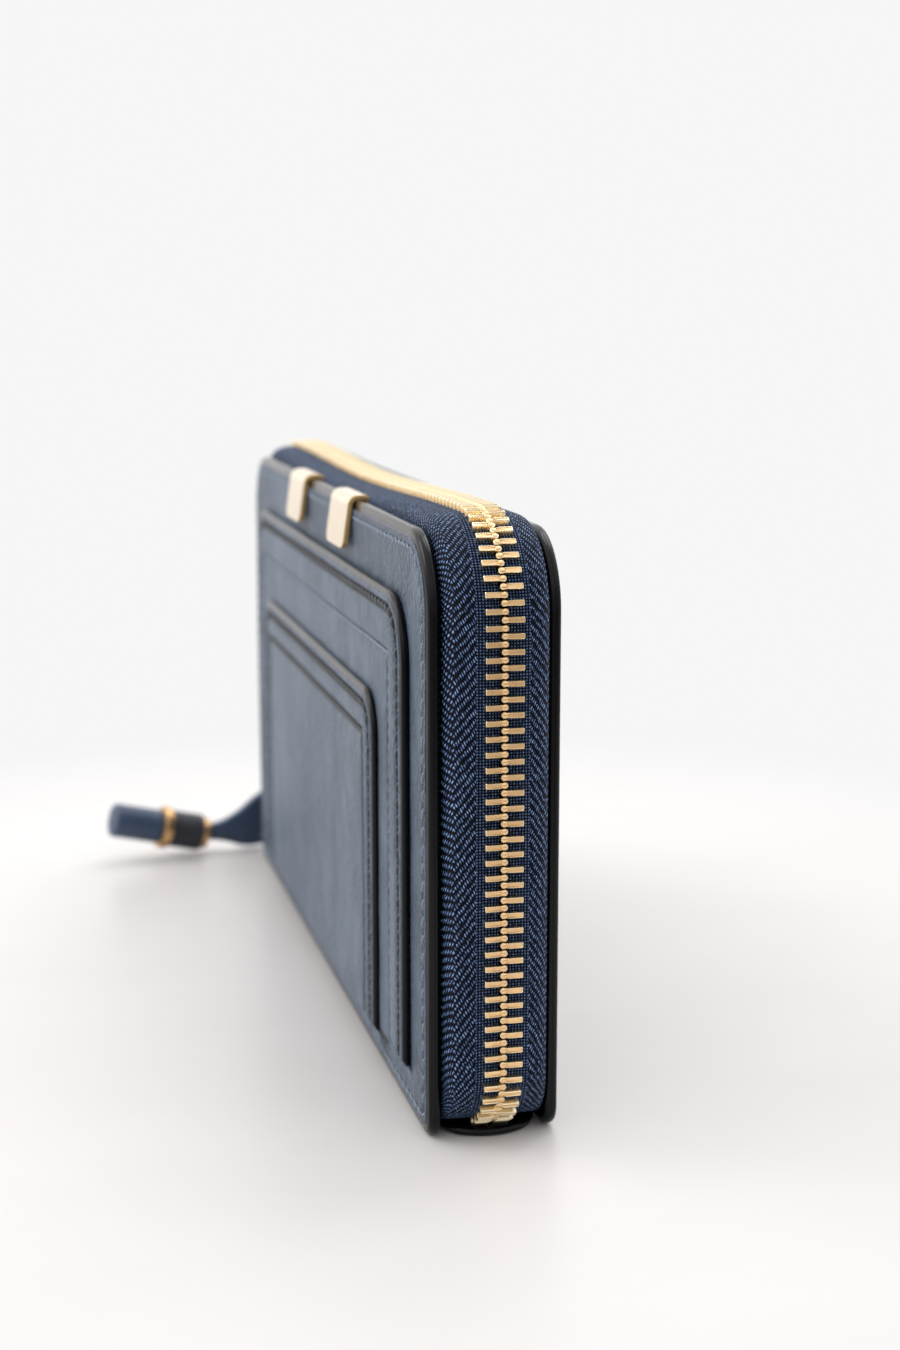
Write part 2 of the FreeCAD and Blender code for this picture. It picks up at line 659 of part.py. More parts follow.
def coin_tab():
    """Flat tab with a round crossbar that turns under the small slider's bridge."""
    x, z = COIN_SLIDER_X, COIN_TOP + 2.85 + 1.5
    bar = cylinder(0.55, 4.4, Vector(x, -2.2, z), Vector(0, 1, 0))
    arms = [box((x - 4.4, x), (y - 0.5, y + 0.5), (z - 0.45, z + 0.45)) for y in (-1.7, 1.7)]
    tongue = box((x - 10.5, x - 4.2), (-2.2, 2.2), (z - 0.45, z + 0.45))
    return bar.fuse(arms + [tongue]).removeSplitter()


def gusset(side, end):
    """Bellows between a cover and the coin pocket: a thin sheet folded twice round the card leaf's edge."""
    outer_y = -HALF_DEPTH + LEATHER_T + LINING_T + 0.35
    folds = [
        (GUSSET_OUT, outer_y), (GUSSET_IN, (outer_y - LEAF_Y) / 2 - 0.15), (GUSSET_OUT, -LEAF_Y),
        (GUSSET_IN, -(LEAF_Y + COIN_HALF_DEPTH) / 2), (GUSSET_OUT, -COIN_HALF_DEPTH - 0.3),
    ]
    shift = GUSSET_SPAN / 2
    outer = [Vector(end * (x + shift), y, GUSSET_FOOT) for x, y in folds]
    inner = [Vector(end * (x - shift), y, GUSSET_FOOT) for x, y in reversed(folds)]
    return sided(prism(outer + inner, Vector(0, 0, GUSSET_TOP - GUSSET_FOOT)), side)


# --- assembly -----------------------------------------------------------------------------------------------
def pieces():
    """Every piece by name."""
    made = {
        "front_panel_outer": outer_panel(), "front_panel_inner": inner_panel(),
        "front_plate_left": metal_plate(-PLATE_CENTRE), "front_plate_right": metal_plate(PLATE_CENTRE),
        "spine_leather": spine_leather(), "spine_lining": spine_lining(), "zip_bottom_stop": zip_bottom_stop(),
        "zip_slider_body": slider_body(), "zip_slider_diamond": slider_diamond(), "pull_ring": pull_ring(),
        "pull_strap": pull_strap(), "pull_small_collar": pull_small_collar(), "pull_wrap": pull_wrap(),
        "pull_collar": pull_collar(), "pull_barrel": pull_barrel(), "coin_pocket_lining": coin_lining(),
        "coin_zip_stops": coin_stops(), "coin_slider_body": coin_slider(), "coin_slider_diamond": coin_diamond(),
        "coin_pull_tab": coin_tab(),
    }
    for name, side in (("front", -1), ("back", 1)):
        made[f"{name}_cover_leather"] = cover_leather(side)
        made[f"{name}_cover_board"] = cover_board(side)
        made[f"{name}_cover_lining"] = cover_lining(side)
        made[f"zip_tape_{name}"] = zip_tape(side)
        made[f"zip_teeth_{name}"] = zip_teeth(side)
        made[f"zip_top_stop_{name}"] = zip_top_stop(side)
        made[f"{name}_leaf_panel"] = leaf_panel(side)
        for row in range(CARD_ROWS):
            made[f"{name}_card_row_{row + 1}"] = card_row(side, row)
        made[f"coin_wall_{name}"] = coin_wall(side)
        made[f"coin_zip_tape_{name}"] = coin_tape(side)
        made[f"coin_zip_teeth_{name}"] = coin_teeth(side)
        made[f"gusset_{name}_near"] = gusset(side, 1)
        made[f"gusset_{name}_far"] = gusset(side, -1)
    return made


os.makedirs(OUT, exist_ok=True)
for node, shape in pieces().items():
    if not shape.isValid() or not shape.Solids:
        print("not a valid solid:", node)
    shape.exportStep(os.path.join(OUT, node + ".step"))
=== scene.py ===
"""Looks for the long wallet: leather, edge paint, stitching, zip tape, metal teeth and the leather pull.

Shapes are worked out in millimetres in the CAD frame and turned into metres when a mesh is made. `side` is -1
for the front cover's half and 1 for the back cover's half.
"""

import math

import bmesh
import bpy
import numpy as np
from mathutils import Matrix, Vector, noise


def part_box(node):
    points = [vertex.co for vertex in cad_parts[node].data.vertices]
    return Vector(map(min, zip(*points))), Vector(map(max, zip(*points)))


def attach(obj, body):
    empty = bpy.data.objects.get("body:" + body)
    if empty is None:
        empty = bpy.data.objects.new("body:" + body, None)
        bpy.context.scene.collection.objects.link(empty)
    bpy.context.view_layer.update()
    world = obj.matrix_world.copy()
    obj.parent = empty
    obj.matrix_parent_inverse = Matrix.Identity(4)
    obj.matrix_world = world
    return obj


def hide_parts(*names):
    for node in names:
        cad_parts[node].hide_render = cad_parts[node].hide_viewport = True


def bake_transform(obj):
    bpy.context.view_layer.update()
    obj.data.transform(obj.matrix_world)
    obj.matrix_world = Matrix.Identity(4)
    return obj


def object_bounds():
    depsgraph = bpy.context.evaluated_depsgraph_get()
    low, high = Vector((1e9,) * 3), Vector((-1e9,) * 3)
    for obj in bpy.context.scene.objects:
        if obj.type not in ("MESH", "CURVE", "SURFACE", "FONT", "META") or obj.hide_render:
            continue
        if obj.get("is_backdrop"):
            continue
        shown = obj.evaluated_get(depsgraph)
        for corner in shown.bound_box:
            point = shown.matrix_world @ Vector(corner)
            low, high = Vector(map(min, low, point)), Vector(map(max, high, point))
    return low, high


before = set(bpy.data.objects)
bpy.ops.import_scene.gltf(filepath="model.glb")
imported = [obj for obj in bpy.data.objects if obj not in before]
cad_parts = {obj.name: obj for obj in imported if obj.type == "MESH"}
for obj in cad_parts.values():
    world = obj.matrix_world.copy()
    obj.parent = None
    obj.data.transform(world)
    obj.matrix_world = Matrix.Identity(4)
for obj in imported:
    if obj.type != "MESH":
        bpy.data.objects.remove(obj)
CAD_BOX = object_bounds()

MM = 0.001
TINY = 1e-9
SIDES = (("front", -1), ("back", 1))


# --- sizes, in millimetres ----------------------------------------------------------------------------------
def cad_box(node):
    """Lowest and highest corner of a CAD node, in millimetres."""
    low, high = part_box(node)
    return np.array(low) / MM, np.array(high) / MM


COVER_LOW, COVER_HIGH = cad_box("back_cover_leather")
HALF_LENGTH = COVER_HIGH[0]
COVER_FOOT = COVER_LOW[2]
COVER_TOP = COVER_HIGH[2]
COVER_CORNER = 13.0
COVER_FOOT_CORNER = 4.0
FACE_Y = COVER_HIGH[1]                       # outer face of each cover
SEAM_Y = cad_box("back_cover_lining")[1][1]  # where outer leather and lining meet
LINING_Y = cad_box("back_cover_lining")[0][1]

FACE, EDGE, FLOOR = 0, 1, 2                  # a leather sheet's material slots; FLOOR holds painted shade for groove floors
SEAM_AT = 3.1                                # the stitched line's distance from a leather edge
SEAM_DOWN = 0.22                             # how far the cover's rim is pressed down outside its stitches
SQUARE_EDGE = 0.06                           # edge radius where two painted layers meet
PANEL_MELT = 9.6                             # the panels' feet are skived away below this height
PANELS = (                                   # node, corner radius, second line from the edge, inner or not
    ("front_panel_outer", 11.0, 10.6, 0),
    ("front_panel_inner", 8.0, 8.2, 1),
)

TRACK_HALF = 97.5                            # the zip's middle line: an upright rounded arch
TRACK_TOP = 102.5
TRACK_SAG = 1.4                              # how far the top run dips in its middle
TRACK_FOOT = 1.9
TRACK_CORNER = 16.5
TRACK_FOOT_CORNER = 12.0
TRACK_END_ANGLE = 80.0
SEAM_INSET = 1.4                             # the seam between tape and cover, from the cover's edge
SEAM_FOOT_RADIUS = 6.0
SEAM_TURN_SHARE = 0.9                        # how far the seam turns under, against the chain
TOOTH_PITCH = 2.5
TAPE_THICKNESS = 0.5
TAPE_FROM = 0.75                             # the tape's inner edge, from the middle plane
TAPE_TUCK = 2.2                              # how far the tape is tucked in behind the cover's edge
TOOTH_REACH = 0.62                           # how far a tooth's head passes the middle line
TOOTH_ROCK = math.radians(2.0)               # how unevenly the teeth are clamped on
TOOTH_HALF = 0.5                             # half a tooth's thickness along the chain
TOOTH_MIDDLE = -1.27                         # the middle of a tooth, from the middle line
TOOTH_HALF_SPAN = 1.9
BEAD_AT = -0.06                              # the head's bead, from the middle line

PLATE_THICKNESS = 0.9
SPINE_HALF_WIDTH = 8.1
SPINE_SHOULDER = 86.0                        # where the spine strip's rounded tongues start
SPINE_REACH = 6.6                            # how far they go on from there
SPINE_RIM = 0.012                            # their rounded edge, as a share of the half length

ACROSS = (0, 1, 0)
SLIDER_Z = 21.0                              # the parked slider's height
COIN_PITCH = 2.2
COIN_SLIDER_X = -64.0

RING_X = -100.75                             # the pull's own axes start on the ring's front arm
RING_ARM_Y = -5.5
STRAP_YAW = 10.0                             # degrees
STRAP_NECK = 20.0                            # where the rolled cord starts, from the ring's arm
CORD_RISE = 14.0                             # degrees
CORD_FOOT_Z = 5.1
CORD_RADIUS = 1.9

BACKGROUND = (0.921, 0.921, 0.925, 1.0)
TABLE_SIZE = 6.0                             # from here on, metres
WALLET_MIDDLE = (0, 0, 0.05)
CAMERA_PLACE = (0.4011, -0.0824, 0.1353)
CAMERA_YAW, CAMERA_PITCH = 13.65, 10.25      # degrees to the left of the wallet's length, and down
FOCUS_DISTANCE = 0.318
SENSOR, FOCAL_LENGTH, APERTURE = 36.0, 54.6, 16.0    # millimetres, millimetres, f-number


# --- mesh helpers -------------------------------------------------------------------------------------------
def new_object(name, verts, faces, materials, face_material=None, uvs=None, sharp=None):
    """Mesh object from millimetre points. uvs holds one (u, v) per point."""
    mesh = bpy.data.meshes.new(name)
    mesh.from_pydata((np.asarray(verts, float) * MM).tolist(), [], [tuple(int(i) for i in f) for f in faces])
    for material in materials:
        mesh.materials.append(material)
    if face_material is not None:
        mesh.polygons.foreach_set("material_index", np.asarray(face_material, np.int32))
    if uvs is not None:
        layer = mesh.uv_layers.new(name="thread")
        corner = np.zeros(len(mesh.loops), np.int32)
        mesh.loops.foreach_get("vertex_index", corner)
        layer.data.foreach_set("uv", np.asarray(uvs, np.float32)[corner].ravel())
    work = bmesh.new()
    work.from_mesh(mesh)
    bmesh.ops.recalc_face_normals(work, faces=work.faces)
    work.to_mesh(mesh)
    work.free()
    mesh.polygons.foreach_set("use_smooth", np.ones(len(mesh.polygons), bool))
    if sharp:
        mesh.set_sharp_from_angle(angle=math.radians(sharp))
    mesh.update()
    obj = bpy.data.objects.new(name, mesh)
    bpy.context.scene.collection.objects.link(obj)
    return obj


def lattice(rows, cols, wrap_rows=False, wrap_cols=False, start=0):
    """Quads over a rows x cols array of points."""
    row, col = np.meshgrid(
        np.arange(rows if wrap_rows else rows - 1), np.arange(cols if wrap_cols else cols - 1), indexing="ij"
    )
    next_row, next_col = (row + 1) % rows, (col + 1) % cols
    quads = np.stack([
        row * cols + col, row * cols + next_col, next_row * cols + next_col, next_row * cols + col,
    ], -1)
    return (quads.reshape(-1, 4) + start).tolist()


def border(rows, cols):
    """Indices round a rows x cols array of points."""
    first_row = list(range(cols))
    last_column = [row * cols + cols - 1 for row in range(1, rows)]
    last_row = [(rows - 1) * cols + column for column in reversed(range(cols - 1))]
    first_column = [row * cols for row in range(rows - 2, 0, -1)]
    return first_row + last_column + last_row + first_column


def sheet_faces(rows, cols):
    """Faces of a closed sheet: an outer rows x cols array of points, an inner one, and the rim between."""
    total = rows * cols
    faces = lattice(rows, cols) + lattice(rows, cols, start=total)
    ring = border(rows, cols)
    return faces + [[a, b, b + total, a + total] for a, b in zip(ring, ring[1:] + ring[:1])]


def unit(vectors):
    """The vectors scaled to length 1."""
    vectors = np.asarray(vectors, float)
    return vectors / np.maximum(np.linalg.norm(vectors, axis=-1, keepdims=True), TINY)


def distances(points):
    """Distance of each point from the first, along the line through them."""
    return np.concatenate([[0], np.cumsum(np.linalg.norm(np.diff(points, axis=0), axis=1))])


def at_stations(stations, along, points):
    """Points at the given distances along a line of 2-D points."""
    return np.stack([np.interp(stations, along, points[:, axis]) for axis in (0, 1)], -1)


def smooth(x, low, high):
    """0 below low, 1 above high, smooth in between."""
    t = np.clip((np.asarray(x, float) - low) / (high - low), 0, 1)
    return t * t * (3 - 2 * t)


def ripple(x, z, size, seed):
    """Soft value noise in -1..1 over arrays of points."""
    flat = zip(np.ravel(x) / size, np.ravel(z) / size)
    values = [noise.noise(Vector((float(a), float(b), seed))) for a, b in flat]
    return np.array(values).reshape(np.shape(x))


def repeated(faces, points, count):
    """The faces of count copies of a part that has that many points."""
    return [[i + n * points for i in f] for n in range(count) for f in faces]


def joined(name, parts, material):
    """One object from (verts, faces) parts that don't share points."""
    verts, faces, offset = [], [], 0
    for part_verts, part_faces in parts:
        verts.append(np.asarray(part_verts, float))
        faces += [[i + offset for i in f] for f in part_faces]
        offset += len(part_verts)
    return new_object(name, np.concatenate(verts), faces, [material], sharp=35)


def tube(path, radius, up, sides, flat=1.0, closed=False):
    """(verts, faces) of a round or oval tube along a path. radius may vary along it."""
    path = np.asarray(path, float)
    radius = np.broadcast_to(radius, len(path))
    if closed:
        tangent = unit(np.roll(path, -1, axis=0) - np.roll(path, 1, axis=0))
    else:
        tangent = unit(np.gradient(path, axis=0))
    across = unit(np.cross(tangent, np.array(up)))
    normal = np.cross(across, tangent)
    angle = np.arange(sides) * 2 * math.pi / sides
    ring = across[:, None] * np.cos(angle)[:, None] + normal[:, None] * np.sin(angle)[:, None] * flat
    verts = path[:, None] + ring * radius[:, None, None]
    faces = lattice(len(path), sides, wrap_rows=closed, wrap_cols=True)
    if not closed:
        faces += [list(range(sides)), [(len(path) - 1) * sides + i for i in range(sides)]]
    return verts.reshape(-1, 3), faces


def rounded(points, radius, steps=5):
    """Closed polygon with its corners rounded off, by less than half of each side."""
    points = np.asarray(points, float)
    share = 2.05
    out = []
    for before, here, after in zip(np.roll(points, 1, axis=0), points, np.roll(points, -1, axis=0)):
        reach = min(radius, np.linalg.norm(before - here) / share, np.linalg.norm(after - here) / share)
        start, end = here + unit(before - here) * reach, here + unit(after - here) * reach
        for t in np.linspace(0, 1, steps):
            out.append(start * (1 - t) ** 2 + here * 2 * t * (1 - t) + end * t * t)
    return np.array(out)


def lozenge(outline, low, high, bevel, steps=3):
    """(verts, faces) of a closed outline made into a plate from low to high along Z, with rounded rims."""
    outline = np.asarray(outline, float)
    ahead = unit(np.roll(outline, -1, axis=0) - np.roll(outline, 1, axis=0))
    inward = np.stack([-ahead[:, 1], ahead[:, 0]], -1)
    area = np.sum(outline[:, 0] * np.roll(outline[:, 1], -1) - np.roll(outline[:, 0], -1) * outline[:, 1])
    inward *= np.sign(area)
    rings = []
    for turn in np.linspace(0, math.pi / 2, steps + 1):
        rings.append((bevel * (1 - math.sin(turn)), low + bevel * (1 - math.cos(turn))))
    rings += [(inset, high + low - z) for inset, z in reversed(rings)]
    verts = [np.column_stack([outline + inward * inset, np.full(len(outline), z)]) for inset, z in rings]
    count = len(outline)
    faces = lattice(len(rings), count, wrap_cols=True)
    faces += [list(range(count)), [(len(rings) - 1) * count + i for i in range(count)]]
    return np.concatenate(verts), faces


def block(low, high, bevel):
    """(verts, faces) of a box with rounded rims and corners."""
    (x0, y0, z0), (x1, y1, z1) = low, high
    return lozenge(rounded([(x0, y0), (x1, y0), (x1, y1), (x0, y1)], bevel * 1.5), z0, z1, bevel)


def lathe(profile, start, direction, sides=40):
    """(verts, faces) of a closed profile of (distance, radius) pairs turned about an axis."""
    direction = unit(direction)
    across = unit(np.cross(direction, (0.0, 1.0, 0.02)))
    normal = np.cross(direction, across)
    turn = np.arange(sides) * 2 * math.pi / sides
    spokes = across * np.cos(turn)[:, None] + normal * np.sin(turn)[:, None]
    profile = np.asarray(profile, float)
    verts = np.array(start) + direction * profile[:, 0][:, None, None] + spokes * profile[:, 1][:, None, None]
    return verts.reshape(-1, 3), lattice(len(profile), sides, wrap_rows=True, wrap_cols=True)


# --- rounded outlines ---------------------------------------------------------------------------------------
class Outline:
    """Rounded upright rectangle, and the point counts that let its inset copies share one mesh."""

    def __init__(self, half, low, high, foot_radius, top_radius, step):
        self.size = (half, low, high, foot_radius, top_radius)
        self.corner = max(6, round(max(foot_radius, top_radius) * math.pi / 2 / step))
        self.wide = max(2, round(2 * (half - max(foot_radius, top_radius)) / step))
        self.tall = max(2, round((high - low - foot_radius - top_radius) / step))

    def row(self, inset, upper):
        """The upper or lower edge from left to right, corners included."""
        half, low, high, foot, top = self.size
        radius = max((top if upper else foot) - inset, 0.02)
        z = (high - inset - radius) if upper else (low + inset + radius)
        x = half - inset - radius
        sign = 1 if upper else -1
        turn = np.linspace(0, math.pi / 2, self.corner + 1)
        left = np.stack([-x - radius * np.cos(turn), z + sign * radius * np.sin(turn)], -1)
        right = np.stack([x + radius * np.sin(turn), z + sign * radius * np.cos(turn)], -1)
        line = np.linspace(left[-1], right[0], self.wide + 1)[1:-1]
        return np.concatenate([left, line, right])

    def loop(self, inset):
        """Closed ring of points: lower edge, right side, upper edge, left side."""
        low, high = self.row(inset, False), self.row(inset, True)
        right = np.linspace(low[-1], high[-1], self.tall + 1)[1:-1]
        left = np.linspace(high[0], low[0], self.tall + 1)[1:-1]
        return np.concatenate([low, right, high[::-1], left])

    def grid(self, inset):
        """Points inside the ring, and the ring's indices within them."""
        low, high = self.row(inset, False), self.row(inset, True)
        t = np.linspace(0, 1, self.tall + 1)[:, None, None]
        points = low[None] * (1 - t) + high[None] * t
        cols, rows = len(low), self.tall + 1
        return points.reshape(-1, 2), border(rows, cols), rows, cols

    def path(self, inset, pitch, open_foot):
        """Evenly spaced points and tangents along an inset ring, from the left foot over the top.

        open_foot leaves out the part below that height, unless it's None.
        """
        loop = self.loop(inset)
        start = len(self.row(inset, False)) // 2
        loop = np.concatenate([loop[start:], loop[:start + 1]])[::-1]
        if open_foot is not None:
            loop = loop[loop[:, 1] >= open_foot]
        along = distances(loop)
        count = max(1, int(along[-1] // pitch))
        stations = (np.arange(count) + 0.5) * along[-1] / count
        ahead, behind = at_stations(stations + 0.3, along, loop), at_stations(stations - 0.3, along, loop)
        return at_stations(stations, along, loop), unit(ahead - behind)


def slab(name, outline, rings, y, side, materials, relief=None, taper=None, paint_from=None, foot=None):
    """Sheet of leather with a modelled edge.

    rings is a list of (inset, height, material slot), from the face outwards, round the edge and to the back.
    height is measured outwards from y. relief(x, z, inset) adds to it. taper(z) thins the sheet towards its
    back, and rings below paint_from keep the face's material. The sheet is cut off level at foot.
    """
    back = rings[-1][1]

    def place(points, inset, height):
        heights = np.full(len(points), float(height))
        if relief is not None:
            heights = heights + relief(points[:, 0], points[:, 1], inset)
        if taper is not None:
            heights = back + (heights - back) * taper(points[:, 1])
        level = points[:, 1] if foot is None else np.maximum(points[:, 1], foot)
        return np.stack([points[:, 0], side * (y + heights), level], -1)

    first_inset, first_height, first_slot = rings[0]
    face_points, ring, rows, cols = outline.grid(first_inset)
    verts = [place(face_points, first_inset, first_height)]
    faces = lattice(rows, cols)
    material = [first_slot] * len(faces)
    previous, offset, count = np.array(ring), len(face_points), len(ring)
    after = np.roll(np.arange(count), -1)
    for inset, height, slot in rings[1:]:
        loop = outline.loop(inset)
        verts.append(place(loop, inset, height))
        current = offset + np.arange(count)
        faces += np.stack([previous, previous[after], current[after], current], -1).tolist()
        material += [slot if paint_from is None or z > paint_from else FACE for z in loop[:, 1]]
        previous, offset = current, offset + count
    faces.append(previous.tolist())
    material.append(rings[-1][2])
    sheet = new_object(name, np.concatenate(verts), faces, materials, face_material=material, sharp=50)
    if foot is not None:
        weld(sheet, 0.01)
    return sheet


def stand_in(obj, finish, body, *nodes):
    """The piece stands for CAD nodes and rides on a body. The finish argument is not used."""
    if nodes:
        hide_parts(*nodes)
    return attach(obj, body)


def weld(obj, distance):
    """Merge points closer than a distance in millimetres, and drop the faces that vanish."""
    work = bmesh.new()
    work.from_mesh(obj.data)
    bmesh.ops.remove_doubles(work, verts=work.verts, dist=distance * MM)
    bmesh.ops.dissolve_degenerate(work, edges=work.edges, dist=distance * MM / 2)
    work.to_mesh(obj.data)
    work.free()


def round_edge(thickness, radius, steps=7, inset=0.0, back_radius=None):
    """Rings round a sheet's painted edge, from its face at the given inset to its back."""
    turned = back_radius or radius
    front, back = [], []
    for n in range(steps + 1):
        turn = math.pi / 2 * n / steps
        rest_of_sine, rest_of_cosine = 1 - math.sin(turn), 1 - math.cos(turn)
        front.append((inset + radius * rest_of_sine, -radius * rest_of_cosine, EDGE))
        back.append((inset + turned * rest_of_cosine, turned * rest_of_sine - thickness, EDGE))
    return front + back


# --- stitching ----------------------------------------------------------------------------------------------
def stitch_shape(length, radius):
    """One thread lying in its holes, along X with Z up: (points, faces)."""
    u = np.linspace(-1, 1, 9)
    path = np.stack([u * length / 2, 0 * u, radius * 0.9 - 1.7 * radius * u ** 4], -1)
    return tube(path, radius * np.sqrt(1 - 0.55 * u ** 6), (0, 0, 1), 7)


def stitches(name, points, tangents, normals, length=2.0, radius=0.24, slant=12.0, thread=None):
    """A thread on each point, turned by slant degrees from the seam's line."""
    template, template_faces = stitch_shape(length, radius)
    points, tangents, normals = (np.asarray(a, float) for a in (points, tangents, normals))
    across = np.cross(normals, tangents)
    angle = math.radians(slant)
    ahead = tangents * math.cos(angle) + across * math.sin(angle)
    sideways = np.cross(normals, ahead)
    verts = points[:, None]
    for axis, direction in enumerate((ahead, sideways, normals)):
        verts = verts + template[None, :, axis, None] * direction[:, None]
    faces = repeated(template_faces, len(template), len(points))
    return new_object(name, verts.reshape(-1, 3), faces, [thread or THREAD])


def seam_on_outline(name, outline, inset, y, side, pitch, relief, foot=None, **thread):
    """Stitches along an inset ring of an outline, on a face at distance y from the middle plane."""
    flat, run = outline.path(inset, pitch, foot)
    lift = relief(flat[:, 0], flat[:, 1], inset)
    points = np.stack([flat[:, 0], side * (y + lift), flat[:, 1]], -1)
    tangents = np.stack([run[:, 0], np.zeros(len(run)), run[:, 1]], -1)
    normals = np.tile([0.0, side, 0.0], (len(flat), 1))
    return stitches(name, points, tangents, normals, **thread)


# --- materials ----------------------------------------------------------------------------------------------
class Shader:
    """Helper for building a node material. Values are numbers, colours or other nodes' outputs."""

    def __init__(self, name, tree=None):
        if tree is None:
            self.material = bpy.data.materials.new(name)
            self.material.use_nodes = True
            tree = self.material.node_tree
            self.surface = tree.nodes["Principled BSDF"]
        self.tree = tree
        self.place = self.node("ShaderNodeTexCoord").outputs["Object"]

    def node(self, kind, inputs=None, **settings):
        node = self.tree.nodes.new(kind)
        for key, value in settings.items():
            setattr(node, key, value)
        for key, value in (inputs or {}).items():
            self.set(node, key, value)
        return node

    def set(self, node, key, value):
        socket = node.inputs[key]
        if isinstance(value, bpy.types.NodeSocket):
            self.tree.links.new(value, socket)
        else:
            socket.default_value = value

    def math(self, operation, a, b=0.0):
        return self.node("ShaderNodeMath", {0: a, 1: b}, operation=operation).outputs[0]

    def plus(self, a, b):
        return self.math("ADD", a, b)

    def times(self, a, b):
        return self.math("MULTIPLY", a, b)

    def scaled(self, x, y, z):
        """Object coordinates in millimetres divided by a size along each axis."""
        return self.node(
            "ShaderNodeMapping", {"Vector": self.place, "Scale": (1 / (x * MM), 1 / (y * MM), 1 / (z * MM))}
        ).outputs[0]

    def noise(self, vector, detail, rough=0.5):
        return self.node(
            "ShaderNodeTexNoise", {"Vector": vector, "Scale": 1.0, "Detail": detail, "Roughness": rough}
        ).outputs["Fac"]

    def edge_distance(self, vector):
        """Distance to the nearest border between random cells."""
        return self.node(
            "ShaderNodeTexVoronoi", {"Vector": vector, "Scale": 1.0}, feature="DISTANCE_TO_EDGE"
        ).outputs["Distance"]

    def mix(self, factor, a, b):
        node = self.node("ShaderNodeMix", {"Factor": factor}, data_type="RGBA")
        self.set(node, 6, a)
        self.set(node, 7, b)
        return node.outputs[2]

    def spread(self, value, low, high, to_low, to_high):
        """The value carried from one range to another, and held at its ends."""
        return self.node(
            "ShaderNodeMapRange",
            {"Value": value, "From Min": low, "From Max": high, "To Min": to_low, "To Max": to_high},
        ).outputs[0]

    def bump(self, height, distance, strength):
        inputs = {"Height": height, "Distance": distance * MM, "Strength": strength}
        return self.node("ShaderNodeBump", inputs).outputs[0]

    def finish(self, **inputs):
        """Set the surface's inputs, by name with underscores for spaces, and hand back the material."""
        for key, value in inputs.items():
            self.set(self.surface, key.replace("_", " "), value)
        return self.material


def rgb(red, green, blue):
    """Linear colour from 0-255 screen values."""
    return tuple((c / 255) ** 2.2 for c in (red, green, blue)) + (1.0,)


def tinted(colour, factor):
    """The colour made lighter or darker."""
    return tuple(c * factor for c in colour[:3]) + (1.0,)


def leather_material(name, deep, dusty, depth, grain=1.7, sheen=0.2, painted_grain_shading=1.0):
    """Grained leather: two sizes of pebbles, pores, cloudy colour, a dusty sheen, and painted highlight and
    shade.

    depth is the pebbles' height and grain the larger ones' size, in millimetres.
    """
    s = Shader(name)
    wander = s.noise(s.scaled(2.4, 2.4, 2.4), 2.0)
    opposite = s.times(wander, -1.0)
    bend = s.node("ShaderNodeCombineXYZ", {0: wander, 1: opposite, 2: wander}).outputs[0]

    def pebbles(size):
        cell = s.scaled(size, size, size * 1.35)
        warped = s.node("ShaderNodeVectorMath", {0: cell, 1: bend}, operation="ADD").outputs[0]
        return s.spread(s.edge_distance(warped), 0.0, 0.3, 0.0, 1.0)

    large, small = pebbles(grain), pebbles(grain * 0.42)
    swell = s.noise(s.scaled(grain * 1.6, grain * 1.6, grain * 2.6), 3.0, 0.6)
    pores = s.noise(s.scaled(0.22, 0.22, 0.26), 2.0)
    # patches where the grain, and with it the painted highlight and shade, is stronger
    grain_strength = s.spread(s.noise(s.scaled(13, 13, 17), 2.0), 0.38, 0.6, 0.35, 1.0)
    relief = s.plus(s.times(large, 0.5), s.times(small, 0.22))
    relief = s.plus(relief, s.times(swell, 0.9))
    relief = s.plus(s.times(relief, grain_strength), s.times(pores, 0.1))
    cloud = s.noise(s.scaled(24, 24, 34), 4.0, 0.6)
    base = s.mix(s.spread(cloud, 0.35, 0.68, 0.0, 1.0), deep, dusty)
    # painted highlight: the crests of the swells are painted lighter; the last argument scales it
    crest = s.times(s.spread(swell, 0.48, 0.72, 0.0, 0.55 * painted_grain_shading), grain_strength)
    base = s.mix(crest, base, tinted(dusty, 1.6))
    # painted shade: the valleys between the pebbles are painted darker; the last argument scales it
    painted_valley_shade = s.times(s.spread(s.math("MINIMUM", large, small), 0.0, 0.7, 0.6 * painted_grain_shading, 0.0), grain_strength)
    colour = s.mix(painted_valley_shade, base, tinted(deep, 0.4))
    return s.finish(
        Base_Color=colour, Roughness=s.spread(cloud, 0.3, 0.7, 0.52, 0.41),
        Normal=s.bump(relief, depth, 0.9), Sheen_Weight=sheen, Sheen_Roughness=0.5,
        Sheen_Tint=rgb(190, 205, 225), Specular_IOR_Level=0.45,
    )


def paint_material():
    """Glossy near-black paint on cut leather edges, brushed on in slightly uneven coats."""
    s = Shader("edge_paint")
    drag = s.noise(s.scaled(2.2, 0.35, 2.2), 3.0)
    specks = s.noise(s.scaled(0.5, 0.5, 0.5), 2.0)
    height = s.plus(drag, s.times(specks, 0.3))
    return s.finish(
        Base_Color=s.mix(drag, rgb(8, 8, 11), rgb(19, 19, 24)),
        Roughness=s.spread(specks, 0.3, 0.7, 0.12, 0.24),
        Normal=s.bump(height, 0.04, 0.3), Specular_IOR_Level=0.22,
    )


def thread_material(name, dark, light):
    """Twisted sewing thread."""
    s = Shader(name)
    inputs = {"Vector": s.scaled(1, 1, 1), "Scale": 0.9, "Distortion": 0.6}
    twist = s.node("ShaderNodeTexWave", inputs, bands_direction="DIAGONAL").outputs["Fac"]
    return s.finish(
        Base_Color=s.mix(twist, dark, light), Roughness=0.55, Normal=s.bump(twist, 0.06, 0.6),
        Sheen_Weight=0.3,
    )


